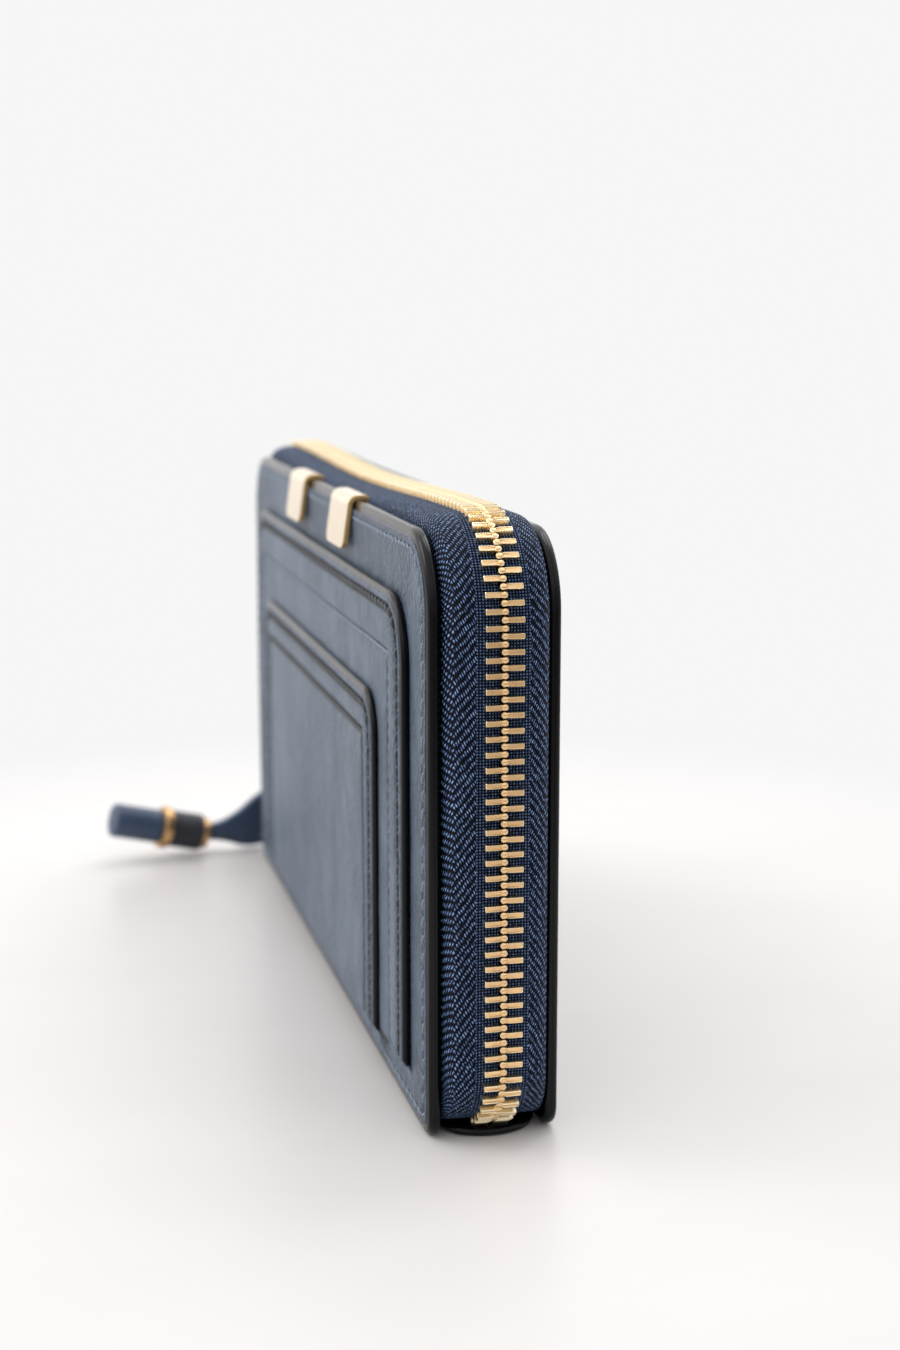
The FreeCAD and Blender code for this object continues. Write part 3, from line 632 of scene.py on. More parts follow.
def tape_material():
    """Herringbone zip tape. The UV map is in millimetres: u along the chain, v across, from the middle out.

    The first few millimetres are straight ribs. Beyond them, slanting rows of small floats change direction
    from column to column.
    """
    rib_band, rib_pitch = 4.4, 0.5
    column_width, slope = 3.3, 1.2
    row_pitch, float_pitch, float_shift = 0.7, 0.66, 0.43
    s = Shader("zip_tape_weave")
    split = s.node("ShaderNodeSeparateXYZ", {0: s.node("ShaderNodeUVMap", uv_map="thread").outputs[0]})
    u, v = split.outputs[0], split.outputs[1]

    def hump(value, power=1.0):
        """A smooth bump once in every unit of value."""
        wave = s.math("SINE", s.times(s.math("FRACT", value), math.pi))
        return s.math("POWER", wave, power)

    sway = s.times(s.math("SUBTRACT", s.noise(s.scaled(0.8, 0.8, 0.8), 2.0), 0.5), 0.45)
    column = s.math("DIVIDE", s.math("SUBTRACT", v, rib_band), column_width)
    zigzag = s.math("ABSOLUTE", s.math("SUBTRACT", s.math("FRACT", s.times(column, 0.5)), 0.5))
    slanted = s.plus(s.plus(u, sway), s.times(zigzag, 2 * column_width * slope))
    row = s.math("DIVIDE", slanted, row_pitch)
    offset = s.times(s.math("FLOOR", row), float_shift)
    floats = hump(s.plus(s.math("DIVIDE", s.plus(v, sway), float_pitch), offset), 2.2)
    weave = s.times(hump(row, 0.8), floats)
    ribs = s.times(hump(s.math("DIVIDE", v, rib_pitch)), hump(s.math("DIVIDE", u, rib_pitch), 0.7))
    outer = s.math("GREATER_THAN", v, rib_band)
    inner = s.times(s.times(ribs, 0.75), s.math("SUBTRACT", 1.0, outer))
    thread = s.plus(s.times(weave, outer), inner)
    # uneven strength of the painted glints on the threads
    uneven = s.noise(s.scaled(0.5, 0.5, 0.5), 1.0)
    painted_glint_share = s.spread(uneven, 0.38, 0.62, 0.25, 1.0)
    # painted shade: near-black between the threads, brightening to navy on them
    body = s.mix(s.spread(thread, 0.15, 0.6, 0.0, 1.0), rgb(3, 8, 20), rgb(25, 43, 76))
    # painted highlight: light blue glints painted on the threads' crests
    crest = s.times(s.spread(thread, 0.45, 0.9, 0.0, 1.0), painted_glint_share)
    colour = s.mix(crest, body, rgb(150, 182, 232))
    return s.finish(
        Base_Color=colour, Roughness=0.6, Normal=s.bump(thread, 0.24, 1.0), Specular_IOR_Level=0.12,
    )


def metal_material(name, colour, rough, uneven=0.05):
    """Polished plating with slightly uneven gloss and shallow dents."""
    s = Shader(name)
    dents = s.noise(s.scaled(0.7, 0.7, 0.7), 2.0)
    dull = s.noise(s.scaled(1.4, 1.4, 1.4), 3.0)
    return s.finish(
        Base_Color=s.mix(dull, colour, tinted(colour, 0.86)), Metallic=1.0,
        Roughness=s.spread(dull, 0.3, 0.7, rough - uneven, rough + uneven),
        Normal=s.bump(dents, 0.05, 0.2),
    )


def lining_material(name, dark, light, size=0.5):
    """Plain-weave lining cloth."""
    s = Shader(name)
    split = s.node("ShaderNodeSeparateXYZ", {0: s.scaled(size, size, size)})
    warp, weft = (s.math("SINE", s.times(split.outputs[axis], math.pi)) for axis in (0, 2))
    weave = s.math("ABSOLUTE", s.times(warp, weft))
    shade = s.noise(s.scaled(9, 9, 9), 3.0)
    colour = s.mix(s.times(weave, 0.8), dark, s.mix(shade, light, dark))
    return s.finish(Base_Color=colour, Roughness=0.7, Normal=s.bump(weave, 0.08, 0.6), Sheen_Weight=0.3)


LEATHER = leather_material("outer_leather", rgb(61, 77, 96), rgb(78, 93, 112), 0.62, painted_grain_shading=1.4)
PANEL_LEATHER = leather_material("panel_leather", rgb(62, 77, 95), rgb(86, 101, 119), 0.45, painted_grain_shading=1.1)
PULL_LEATHER = leather_material("pull_leather", rgb(52, 68, 92), rgb(68, 84, 108), 0.1, 0.9, painted_grain_shading=0.4)
WRAP_LEATHER = leather_material("wrap_leather", rgb(34, 35, 42), rgb(52, 51, 58), 0.1, 0.7, painted_grain_shading=0.3)
INNER_LEATHER = leather_material("inner_leather", rgb(38, 47, 64), rgb(52, 62, 80), 0.12, 1.0, painted_grain_shading=0.4)
# painted shade: near-black leather standing in for the shade in the floors of pressed grooves
GROOVE_SHADE = leather_material("pressed_groove_painted_shade", rgb(8, 9, 13), rgb(16, 18, 24), 0.1, 0.8, sheen=0.0)
PAINT = paint_material()
THREAD = thread_material("leather_thread", rgb(10, 11, 15), rgb(34, 38, 48))
TONAL_THREAD = thread_material("tonal_thread", rgb(92, 106, 124), rgb(142, 154, 170))
TAPE = tape_material()
BRASS = metal_material("gold_teeth", rgb(255, 236, 199), 0.24)
BRASS_FLOOR = metal_material("gold_teeth_floor", rgb(252, 210, 157), 0.34, 0.1)
PLATING = metal_material("gold_plate", rgb(250, 231, 202), 0.2, 0.03)
# painted shade: a copy of the plating, painted a deeper, warmer gold, for the plates' rims
SHADED_PLATE_RIM = metal_material("gold_plate_rim_painted_shade", rgb(255, 212, 140), 0.34, 0.03)
COLLAR = metal_material("gold_collar", rgb(214, 172, 122), 0.36)
CLOTH = lining_material("coin_bag_cloth", rgb(120, 106, 88), rgb(170, 155, 134))
DARK_CLOTH = lining_material("bellows_cloth", rgb(24, 30, 43), rgb(48, 58, 78), 0.35)


# --- covers and panels --------------------------------------------------------------------------------------
def cover_relief(seed):
    """Slow unevenness of a leather face, and small crinkles towards its edge."""
    def relief(x, z, inset):
        wave = 0.16 * ripple(x, z, 34.0, seed) + 0.05 * ripple(x, z, 9.0, seed + 3)
        crinkle = 0.045 * ripple(x, z * 0.35, 1.1, seed + 7)
        edge = smooth(inset, 0.2, 3.0)
        near = smooth(inset, 0.6, 1.6) * (1 - smooth(inset, 3.0, 7.0))
        return wave * edge + crinkle * near
    return relief


def groove(centre, depth, width, slot=FACE):
    """Rings across a pressed line. Its floor takes the slot."""
    steps = ((1.0, 0.0), (0.6, -0.35), (0.3, -0.9), (0.0, -1.0), (-0.3, -0.9), (-0.6, -0.35), (-1.0, 0.0))
    return [(centre + width * at, depth * down, slot if down < -0.2 else FACE) for at, down in steps]


def cover_outline(step=1.0):
    """Edge of a cover, with points about a step apart."""
    return Outline(HALF_LENGTH, COVER_FOOT, COVER_TOP, COVER_FOOT_CORNER, COVER_CORNER, step)


def cover_skin(name, side):
    """Outer leather of a cover, its stitched rim and its painted edge."""
    thickness = FACE_Y - SEAM_Y
    rings = [(9.0, 0.0, FACE), (7.0, 0.0, FACE), (5.2, 0.05, FACE), (4.2, 0.08, FACE)]
    rings += groove(SEAM_AT, 0.26, 0.55)
    rings += [(2.3, 0.02, FACE), (1.9, -0.02, FACE), (1.6, -0.1, FACE)]
    rings += [(1.45, -0.2, EDGE), (1.3, -SEAM_DOWN, EDGE)]
    edge = round_edge(thickness - SEAM_DOWN, 0.9, back_radius=SQUARE_EDGE)[2:]
    edge = [(inset, height - SEAM_DOWN, slot) for inset, height, slot in edge]
    outline = cover_outline()
    relief = cover_relief(11.0 + side)
    skin = slab(f"{name}_cover_skin", outline, rings + edge, FACE_Y, side, [LEATHER, PAINT], relief)
    seam = seam_on_outline(
        f"{name}_cover_stitching", outline, SEAM_AT, FACE_Y - SEAM_DOWN, side, 3.0, relief,
        slant=20 * side, length=2.2, thread=TONAL_THREAD,
    )
    return skin, seam


def cover_inner(name, side):
    """Lining of a cover: thin leather whose painted edge runs on from the outer leather's."""
    thickness = SEAM_Y - LINING_Y
    rings = [(9.0, 0.0, FACE), (6.0, 0.0, FACE)] + groove(4.2, 0.14, 0.6)
    rings += [(2.4, 0.0, FACE), (2.0, 0.0, EDGE), (1.4, 0.0, EDGE)]
    rings += round_edge(thickness, 1.0, 10, back_radius=SQUARE_EDGE)[1:]
    return slab(f"{name}_cover_inner", cover_outline(1.6), rings, -LINING_Y, -side, [INNER_LEATHER, PAINT])


def panel(node, corner, second, inner):
    """Horseshoe panel: stitched along a painted edge, a second pressed line, its foot skived into the cover.

    second is the second line's distance from the edge. Painted shade darkens its floor on the inner panel.
    """
    low, high = cad_box(node)
    thickness, foot = high[1] - low[1], low[2]
    outline = Outline(high[0], foot - second - 5.0, high[2], 3.0, corner, step=0.8)
    waves = cover_relief(5.0 + inner)
    deep_line = low[1] + 0.42

    def relief(x, z, inset):
        pucker = 0.07 * ripple(x, z, 2.4, inner) * (1 - smooth(inset, 2.0, 9.0)) * smooth(inset, 0.6, 1.4)
        return waves(x, z, inset) + pucker

    def taper(z):
        return 0.04 + 0.96 * smooth(z, PANEL_MELT - 2.0, PANEL_MELT)

    rings = [(second + 3.5, 0.12, FACE), (second + 1.8, 0.14, FACE)]
    # on the inner panel the second line's floor has painted shade
    rings += groove(second, 0.5, 0.85, FLOOR if inner else FACE)
    rings += [(second - 1.6, 0.26, FACE), (5.4, 0.34, FACE), (4.4, 0.22, FACE)]
    # painted shade on the stitch groove's floor
    rings += groove(SEAM_AT, 0.6, 0.95, FLOOR)
    rings += [(2.0, 0.16, FACE), (1.5, 0.14, FACE), (1.2, -0.02, FACE), (1.05, -0.1, EDGE)]
    rings += round_edge(thickness, 0.6, inset=0.05)[1:]
    sheet = slab(
        f"{node}_sheet", outline, rings, -low[1], -1, [PANEL_LEATHER, PAINT, GROOVE_SHADE], relief, taper,
        PANEL_MELT - 1.5, foot,
    )
    seams = [
        seam_on_outline(
            f"{node}_stitching", outline, SEAM_AT, -deep_line, -1, 2.8, relief, PANEL_MELT,
            length=2.4, radius=0.46, slant=-28,
        ),
        seam_on_outline(
            f"{node}_second_stitching", outline, second, -deep_line + 0.02, -1, 2.4, relief, PANEL_MELT,
            length=1.9, radius=0.24, slant=-16, thread=THREAD if inner else TONAL_THREAD,
        ),
    ]
    return [sheet] + seams


def build_covers():
    """Covers with their linings, and the panels on the front one."""
    for name, side in SIDES:
        body = f"{name}_cover"
        skin, seam = cover_skin(name, side)
        stand_in(skin, "outer_leather", body, f"{name}_cover_leather", f"{name}_cover_board")
        stand_in(seam, "outer_leather", body)
        stand_in(cover_inner(name, side), "inner_leather", body, f"{name}_cover_lining")
    for node, corner, second, inner in PANELS:
        sheet, *seams = panel(node, corner, second, inner)
        stand_in(sheet, "outer_leather", "front_cover", node)
        for seam in seams:
            stand_in(seam, "outer_leather", "front_cover")


# --- zip ----------------------------------------------------------------------------------------------------
def track_lengths():
    """Half of the track, in order: lower corner, upright run, top corner, half of the top run."""
    upright = TRACK_TOP - TRACK_CORNER - TRACK_FOOT - TRACK_FOOT_CORNER
    return [
        TRACK_FOOT_CORNER * math.radians(TRACK_END_ANGLE), upright, TRACK_CORNER * math.pi / 2,
        TRACK_HALF - TRACK_CORNER,
    ]


def half_track(s):
    """(x, z, turn, seam x, seam z) at distance s from the chain's foot on the +X end.

    turn is the angle about Y, in degrees, that carries +Z to the outward normal. The seam is where the tape
    meets the cover.
    """
    foot, upright, corner, top = track_lengths()
    seam_half = HALF_LENGTH - SEAM_INSET
    seam_radius = COVER_CORNER - SEAM_INSET
    seam_x = seam_half - seam_radius
    foot_z = TRACK_FOOT + TRACK_FOOT_CORNER
    top_z = TRACK_TOP - TRACK_CORNER
    seam_high = COVER_TOP - COVER_CORNER
    seam_low = COVER_FOOT + SEAM_INSET + SEAM_FOOT_RADIUS
    if s <= foot:
        below = (1 - s / foot) * TRACK_END_ANGLE
        a, b = math.radians(below), math.radians(below * SEAM_TURN_SHARE)
        x = TRACK_HALF - TRACK_FOOT_CORNER * (1 - math.cos(a))
        z = foot_z - TRACK_FOOT_CORNER * math.sin(a)
        seam_z = seam_low - SEAM_FOOT_RADIUS * math.sin(b)
        return x, z, 90 + below, seam_half - SEAM_FOOT_RADIUS * (1 - math.cos(b)), seam_z
    s -= foot
    if s <= upright:
        return TRACK_HALF, foot_z + s, 90.0, seam_half, seam_low + s / upright * (seam_high - seam_low)
    s -= upright
    if s <= corner:
        a = s / corner * math.pi / 2
        x = TRACK_HALF - TRACK_CORNER * (1 - math.cos(a))
        z = top_z + TRACK_CORNER * math.sin(a)
        seam_z = seam_high + seam_radius * math.sin(a)
        return x, z, 90 - math.degrees(a), seam_x + seam_radius * math.cos(a), seam_z
    x = top - (s - corner)
    wave = math.pi * x / top
    dip = TRACK_SAG * (1 + math.cos(wave)) / 2
    slope = TRACK_SAG * math.pi / top * math.sin(wave) / 2
    return x, TRACK_TOP - dip, -math.degrees(math.atan(slope)), seam_x * x / top, seam_high + seam_radius


TRACK_LENGTH = 2 * sum(track_lengths())


def track(s):
    """The whole track, from the +X foot (s = 0) to the -X foot."""
    if s <= TRACK_LENGTH / 2:
        return half_track(s)
    x, z, turn, seam_x, seam_z = half_track(TRACK_LENGTH - s)
    return -x, z, -turn, -seam_x, seam_z


def tape_section():
    """Across the tape: share of the way from the seam to the chain, and distance from the middle plane."""
    turn = np.linspace(0, math.pi / 2, 26)
    room = LINING_Y - 0.15 - TAPE_FROM
    fullness, width = 0.62, 0.66             # below 1, the arch is fuller than a quarter circle
    return np.sin(turn) ** fullness, TAPE_FROM + room * np.cos(turn) ** width


def tape_sheet(name, side):
    """Arched tape from the teeth to the cover's edge, tucked in behind the edge."""
    stations = np.linspace(0, TRACK_LENGTH, 560)
    out, away = tape_section()
    away = side * np.concatenate([[away[0] - 0.05], away])
    rows, outward = [], []
    for s in stations:
        x, z, turn, seam_x, seam_z = track(s)
        crest, seam = np.array([x, z]), np.array([seam_x, seam_z])
        line = np.concatenate([[seam + unit(seam - crest) * TAPE_TUCK], seam + (crest - seam) * out[:, None]])
        rows.append(np.stack([line[:, 0], away, line[:, 1]], -1))
        outward.append((math.sin(math.radians(turn)), 0.0, math.cos(math.radians(turn))))
    outer = np.array(rows)
    du, dv = np.gradient(outer, axis=0), np.gradient(outer, axis=1)
    normal = unit(np.cross(du, dv))
    normal *= np.sign(np.sum(normal * np.array(outward)[:, None], -1, keepdims=True))
    inner = outer - normal * TAPE_THICKNESS
    middle = outer[len(stations) // 2]
    across = distances(middle)
    from_chain = across[-1] - across + TAPE_FROM
    uv = np.stack(np.broadcast_arrays(stations[:, None], from_chain[None]), -1).reshape(-1, 2)
    verts = np.concatenate([outer.reshape(-1, 3), inner.reshape(-1, 3)])
    faces = sheet_faces(*outer.shape[:2])
    return new_object(name, verts, faces, [TAPE], uvs=np.concatenate([uv, uv]), sharp=60)


def tooth_outline():
    """Plan of one tooth: across (towards the head) and along."""
    half = [
        (-3.16, 0.40), (-3.08, TOOTH_HALF), (-2.2, TOOTH_HALF), (-1.0, TOOTH_HALF), (-0.6, 0.46),
        (-0.3, 0.46), (-0.05, 0.53), (0.2, 0.55), (0.42, 0.45), (0.56, 0.26), (TOOTH_REACH, 0.09),
    ]
    return np.array([(a, -b) for a, b in half] + half[::-1])


def tooth_mesh():
    """One coined tooth: a thin rim round a sunken floor on its face, and a lower head with a rounded bead.

    Returns points, faces and each face's material.
    """
    plan = tooth_outline()
    head = smooth(plan[:, 0], -0.75, -0.2)

    def layer(inset, height):
        along = plan[:, 1] * (1 - inset / TOOTH_HALF)
        across = TOOTH_MIDDLE + (plan[:, 0] - TOOTH_MIDDLE) * (1 - inset / TOOTH_HALF_SPAN)
        return np.column_stack([along, across, np.sign(height) * (abs(height) - 0.2 * head)])

    levels = [
        (0.3, -1.1), (0.1, -1.14), (0.0, -1.0), (0.0, 0.94), (0.025, 1.07), (0.08, 1.15), (0.15, 1.15),
        (0.19, 1.09), (0.22, 1.0),
    ]
    verts = np.concatenate([layer(*level) for level in levels])
    count = len(plan)
    faces = lattice(len(levels), count, wrap_cols=True)
    faces += [list(range(count)), [(len(levels) - 1) * count + i for i in range(count)]]
    slots = [0] * (len(faces) - 1) + [1]
    ring = np.arange(14) * math.pi / 7
    base, rise = 0.72, 0.4
    bead = []
    for turn in np.linspace(0, math.pi / 2, 8)[:-1]:
        wide, high = math.cos(turn), np.full(len(ring), base + rise * math.sin(turn))
        bead.append(np.column_stack([0.52 * wide * np.cos(ring), 0.66 * wide * np.sin(ring) + BEAD_AT, high]))
    bead.append([[0.0, BEAD_AT, base + rise]])
    start = len(verts)
    verts = np.concatenate([verts] + bead)
    faces += lattice(len(bead) - 1, len(ring), wrap_cols=True, start=start)
    tip, last = len(verts) - 1, start + (len(bead) - 2) * len(ring)
    faces += [[last + i, last + (i + 1) % len(ring), tip] for i in range(len(ring))]
    faces.append(list(range(start, start + len(ring))))
    return verts, faces, slots + [1] * (len(faces) - len(slots))


def tooth_row(name, node, body, places):
    """Teeth at the given places, each a function from the tooth's own points to the frame's."""
    verts, template_faces, template_slots = tooth_mesh()
    points = np.concatenate([place(verts) for place in places])
    faces = repeated(template_faces, len(verts), len(places))
    slots = template_slots * len(places)
    row = new_object(name, points, faces, [BRASS, BRASS_FLOOR], face_material=slots, sharp=35)
    stand_in(row, "gold_plated_brass", body, node)


def on_track(s, side, rock):
    """Function that carries a tooth's points (along, to the head, outwards) to its place on the track."""
    x, z, turn, _, _ = track(s)
    cosine, sine = math.cos(math.radians(turn)), math.sin(math.radians(turn))

    def place(local):
        along = local[:, 0] * math.cos(rock) - local[:, 1] * math.sin(rock)
        across = -side * (local[:, 0] * math.sin(rock) + local[:, 1] * math.cos(rock))
        out = local[:, 2]
        return np.column_stack([x + along * cosine + out * sine, across, z - along * sine + out * cosine])

    return place


def zip_places(side):
    """Places of one row's teeth, from the chain's foot to the parked slider."""
    first = TOOTH_PITCH * (0.5 if side < 0 else 1.0)    # the rows are half a tooth apart
    above = cad_box("zip_slider_body")[1][2] + 0.5 - TRACK_FOOT - TRACK_FOOT_CORNER
    count = int((TRACK_LENGTH - track_lengths()[0] - above - first) // TOOTH_PITCH) + 1
    rocks = [TOOTH_ROCK * noise.noise(Vector((n * 0.37, side, 0))) for n in range(count)]
    return [on_track(first + n * TOOTH_PITCH, side, rock) for n, rock in enumerate(rocks)]


def build_zip():
    """Both tapes and tooth rows of the main zip."""
    for name, side in SIDES:
        body = f"{name}_cover"
        stand_in(tape_sheet(f"{name}_zip_tape_woven", side), "zip_tape_cloth", body, f"zip_tape_{name}")
        tooth_row(f"{name}_zip_tooth_row", f"zip_teeth_{name}", body, zip_places(side))


# --- metal plates -------------------------------------------------------------------------------------------
def plate_profile():
    """Middle line of the bent sheet in (y, z), front foot first, from the CAD plate's box."""
    low, high = cad_box("front_plate_left")
    front_bend, back_bend, back_drop, half = 1.5, 0.9, 3.9, PLATE_THICKNESS / 2
    front, back, top = -FACE_Y - half - 0.1, -LINING_Y + half + 0.05, high[2] - half
    foot = np.array([low[1] + half + 0.1, low[2]])
    line = [foot + (np.array([front, top - front_bend]) - foot) * t for t in np.linspace(0, 1, 9)]
    turns = [(front + front_bend, front_bend, turn) for turn in np.linspace(math.pi, math.pi / 2, 8)[1:]]
    turns += [(back - back_bend, back_bend, turn) for turn in np.linspace(math.pi / 2, 0, 7)]
    for middle, bend, turn in turns:
        line.append(np.array([middle + bend * math.cos(turn), top - bend + bend * math.sin(turn)]))
    line.append(np.array([back, top - back_drop]))
    return np.array(line)


def metal_plate(name, node):
    """Polished plate with rounded lower corners and eased edges."""
    low, high = cad_box(node)
    line = plate_profile()
    half, middle = (high[0] - low[0]) / 2, (high[0] + low[0]) / 2
    along = distances(line)
    corner, columns = 2.2, 15
    rounding = corner * (1 - np.cos(np.linspace(0, math.pi / 2, 7)[:-1]))
    stations = np.concatenate([rounding, along[along > corner]])
    points = at_stations(stations, along, line)
    left = 1 - np.minimum(stations, corner) / corner
    width = half - corner + corner * np.sqrt(np.clip(1 - left ** 2, 0, 1))
    tangent = unit(np.gradient(points, axis=0))
    normal = np.stack([-tangent[:, 1], tangent[:, 0]], -1)
    across, ones = np.linspace(-1, 1, columns), np.ones(columns)
    rows = []
    for sign in (1, -1):
        for (y, z), w in zip(points + normal * sign * PLATE_THICKNESS / 2, width):
            rows.append(np.column_stack([middle + across * w, y * ones, z * ones]))
    faces = sheet_faces(len(points), columns)
    flat = 2 * (len(points) - 1) * (columns - 1)
    # the rim faces take the plating's copy painted a deeper gold, as painted shade
    slots = [0] * flat + [1] * (len(faces) - flat)
    plate = new_object(name, np.concatenate(rows), faces, [PLATING, SHADED_PLATE_RIM], face_material=slots, sharp=40)
    bevel = plate.modifiers.new("eased", "BEVEL")
    bevel.width = 0.22 * MM
    bevel.segments = 3
    bevel.limit_method = "ANGLE"
    bevel.angle_limit = math.radians(50)
    stand_in(plate, "gold_plated_brass", "front_cover", node)


# --- spine --------------------------------------------------------------------------------------------------
def spine_strip():
    """Leather trough under the wallet, its ends run out in painted, rounded tongues."""
    y = SPINE_HALF_WIDTH * np.sin(np.linspace(-1, 1, 41) * math.pi / 2)
    end = SPINE_SHOULDER + SPINE_REACH * np.sqrt(1 - (y / (SPINE_HALF_WIDTH + 0.2)) ** 2)
    rim = 1 - SPINE_RIM * (1 - np.sin(np.linspace(0, math.pi / 2, 7)))
    lengthwise = np.concatenate([-rim[::-1], np.linspace(-0.99, 0.99, 90), rim])
    below, above = [], []
    for u in lengthwise:
        x = u * end
        at_end = smooth(np.abs(x), SPINE_SHOULDER - 7.0, SPINE_SHOULDER)
        rise = (2.45 - 1.45 * at_end) * np.clip((np.abs(y) - 5.5) / 3.0, 0, 1) ** 2
        thick = 1.9 - 0.8 * at_end + 0.5 * smooth(np.abs(x), 87.4, 90.0)
        edge = np.clip((1 - abs(u)) / SPINE_RIM, 0, 1)
        closed = thick / 2 * (1 - math.sqrt(1 - (1 - edge) ** 2)) * 0.98
        below.append(np.column_stack([x, y, rise + closed]))
        above.append(np.column_stack([x, y * (1 - 0.06 * (1 - at_end)), rise + thick - closed]))
    verts = np.concatenate(below + above)
    faces = sheet_faces(len(lengthwise), len(y))
    painted = [int(np.abs(verts[f][:, 0]).mean() > SPINE_SHOULDER - 2.0) for f in faces]
    strip = new_object("spine_strip", verts, faces, [LEATHER, PAINT], face_material=painted, sharp=60)
    stand_in(strip, "outer_leather", "core", "spine_leather")


# --- slider and pull ----------------------------------------------------------------------------------------
def moved(part, place):
    """A (verts, faces) part with its points passed through place."""
    return place(part[0]), part[1]


def at_slider(local):
    """From the slider's axes (X up, Y across, Z outwards) to its parked place."""
    return np.column_stack([-TRACK_HALF - local[:, 2], local[:, 1], SLIDER_Z + local[:, 0]])


def fitted(name, node, body, parts, material=None, finish="gold_plated_brass"):
    """One object of several parts that stands for a CAD node and rides on its body."""
    stand_in(joined(name, parts, material or PLATING), finish, body, node)


def build_slider():
    """Main slider, its diamond and the ring that carries the pull."""
    shield = rounded([(5.2, 3.7), (-2.2, 4.3), (-5.2, 2.4), (-5.2, -2.4), (-2.2, -4.3), (5.2, -3.7)], 1.6)
    plate, flange_half, flange_height = 0.9, 0.28, 1.2
    parts = [lozenge(shield, low, low + plate, 0.3) for low in (1.45, -2.35)]
    for y in (-3.6, 3.6):
        for z in (0.52, -1.72):
            low, high = (-3.0, y - flange_half, z), (5.1, y + flange_half, z + flange_height)
            parts.append(block(low, high, 0.15))
    turn = np.linspace(0, math.pi, 15)
    arch = np.column_stack([-2.9 * np.cos(turn), np.zeros(15), 2.0 + 2.55 * np.sin(turn) ** 0.6])
    parts.append(tube(arch, 0.42, ACROSS, 18, flat=2.6))
    parts = [moved(part, at_slider) for part in parts]
    fitted("zip_slider_shell", "zip_slider_body", "zip_slider", parts)
    wedge = rounded([(-4.6, 0), (-2.6, 0.8), (-0.5, 0), (-2.6, -0.8)], 0.4)
    parts = [moved(lozenge(wedge, -1.5, 1.5, 0.1), at_slider)]
    fitted("zip_slider_wedge", "zip_slider_diamond", "zip_slider", parts)
    low, high = cad_box("pull_ring")
    x, wire = (low[0] + high[0]) / 2, (high[0] - low[0]) / 2
    half, bottom, top = high[1] - wire, low[2] + wire, high[2] - wire
    loop = rounded([(-half, bottom), (half, bottom), (half, top), (-half, top)], 2.2, 9)
    loop = np.column_stack([np.full(len(loop), x), loop])
    parts = [tube(loop, wire, (1, 0, 0), 16, closed=True)]
    fitted("pull_ring_wire", "pull_ring", "pull_ring", parts)


def lay_pull(local):
    """From the pull's axes (X away from the ring's arm, Z up) to where it lies in front of the wallet."""
    turn = math.radians(STRAP_YAW - 90)
    x = RING_X + local[:, 0] * math.cos(turn) - local[:, 1] * math.sin(turn)
    y = RING_ARM_Y + local[:, 0] * math.sin(turn) + local[:, 1] * math.cos(turn)
    return np.column_stack([x, y, local[:, 2]])


def on_cord(profile):
    """Turned part on the rolled end's sloping axis."""
    rise = math.radians(CORD_RISE)
    axis = (math.cos(rise), 0.0, math.sin(rise))
    return moved(lathe(profile, (STRAP_NECK, 0.0, CORD_FOOT_Z), axis), lay_pull)


def ring_profile(start, length, outer, inner, bulge=0.35):
    """Closed profile of a collar with a domed outside."""
    turn = np.linspace(0, math.pi, 9)
    dome = [(start + length / 2 * (1 - math.cos(t)), outer - bulge * (1 - math.sin(t) ** 0.5)) for t in turn]
    return dome + [(start + length, inner), (start, inner)]


def build_pull():
    """Leather pull: flat strap, small collar, wrap, large collar and rolled end."""
    web = rounded([
        (-0.9, 11.0), (0.6, 4.0), (4.0, 0.9), (9.5, 0.7), (14.0, 2.6), (18.0, 3.4), (21.6, 3.4), (21.6, 7.0),
        (17.0, 7.2), (11.5, 9.4), (6.0, 13.4), (1.5, 15.4), (-0.9, 15.4),
    ], 3.0, 7)
    verts, faces = lozenge(web, -1.1, 1.1, 0.35, 4)
    x, z = verts[:, 0], verts[:, 1]
    curl = 0.9 * smooth(x, 2.0, 9.0) * (1 - smooth(x, 14.0, 20.0)) * np.sin(z / 4.5)
    local = np.column_stack([x, verts[:, 2] + curl, z])
    roller = [(0, 0.3), (0, 1.6), (0.3, 1.9), (5.4, 1.9), (5.7, 1.6), (5.7, 0.3)]
    loop = lathe(roller, (0, 0, 11.4), (0, 0, 1))
    core = on_cord([(-1.4, 0.2), (-1.4, 1.85), (22.0, 1.85), (22.0, 0.2)])
    strap = [(lay_pull(local), faces), moved(loop, lay_pull), core]
    fitted("pull_strap_leather", "pull_strap", "pull_strap", strap, PULL_LEATHER, "outer_leather")
    small = [on_cord(ring_profile(-0.9, 1.6, 3.9, CORD_RADIUS))]
    fitted("pull_small_ring", "pull_small_collar", "pull_strap", small, COLLAR)
    start, end, coil_width = 0.75, 8.95, 1.025
    along = np.linspace(start, end, 85)
    coils = 4.15 + 0.42 * np.abs(np.sin(math.pi * (along - start) / coil_width)) ** 0.6
    wrap = [on_cord(list(zip(along, coils)) + [(end, CORD_RADIUS), (start, CORD_RADIUS)])]
    fitted("pull_cord_wrap", "pull_wrap", "pull_strap", wrap, WRAP_LEATHER, "outer_leather")
    big = [on_cord(ring_profile(9.0, 2.4, 5.2, CORD_RADIUS, 0.5))]
    fitted("pull_big_ring", "pull_collar", "pull_strap", big, COLLAR)
    start, end = 11.45, 23.45
    roll = [(start, CORD_RADIUS), (start, 3.7), (start + 0.3, 4.1)]
    along = np.linspace(start + 0.8, end - 0.7, 12)
    roll += list(zip(along, 4.12 + 0.03 * np.sin(along * 2.1)))
    layers = end - 0.25
    roll += [
        (layers, 4.02), (end, 3.75), (end, 3.2), (layers, 3.05), (layers, 2.95), (end, 2.8), (end, 2.0),
        (layers, 1.85), (layers, 1.75), (end, 1.6), (end, 0.1), (start + 4, 0.1),
    ]
    fitted("pull_rolled_end", "pull_barrel", "pull_strap", [on_cord(roll)], PULL_LEATHER, "outer_leather")


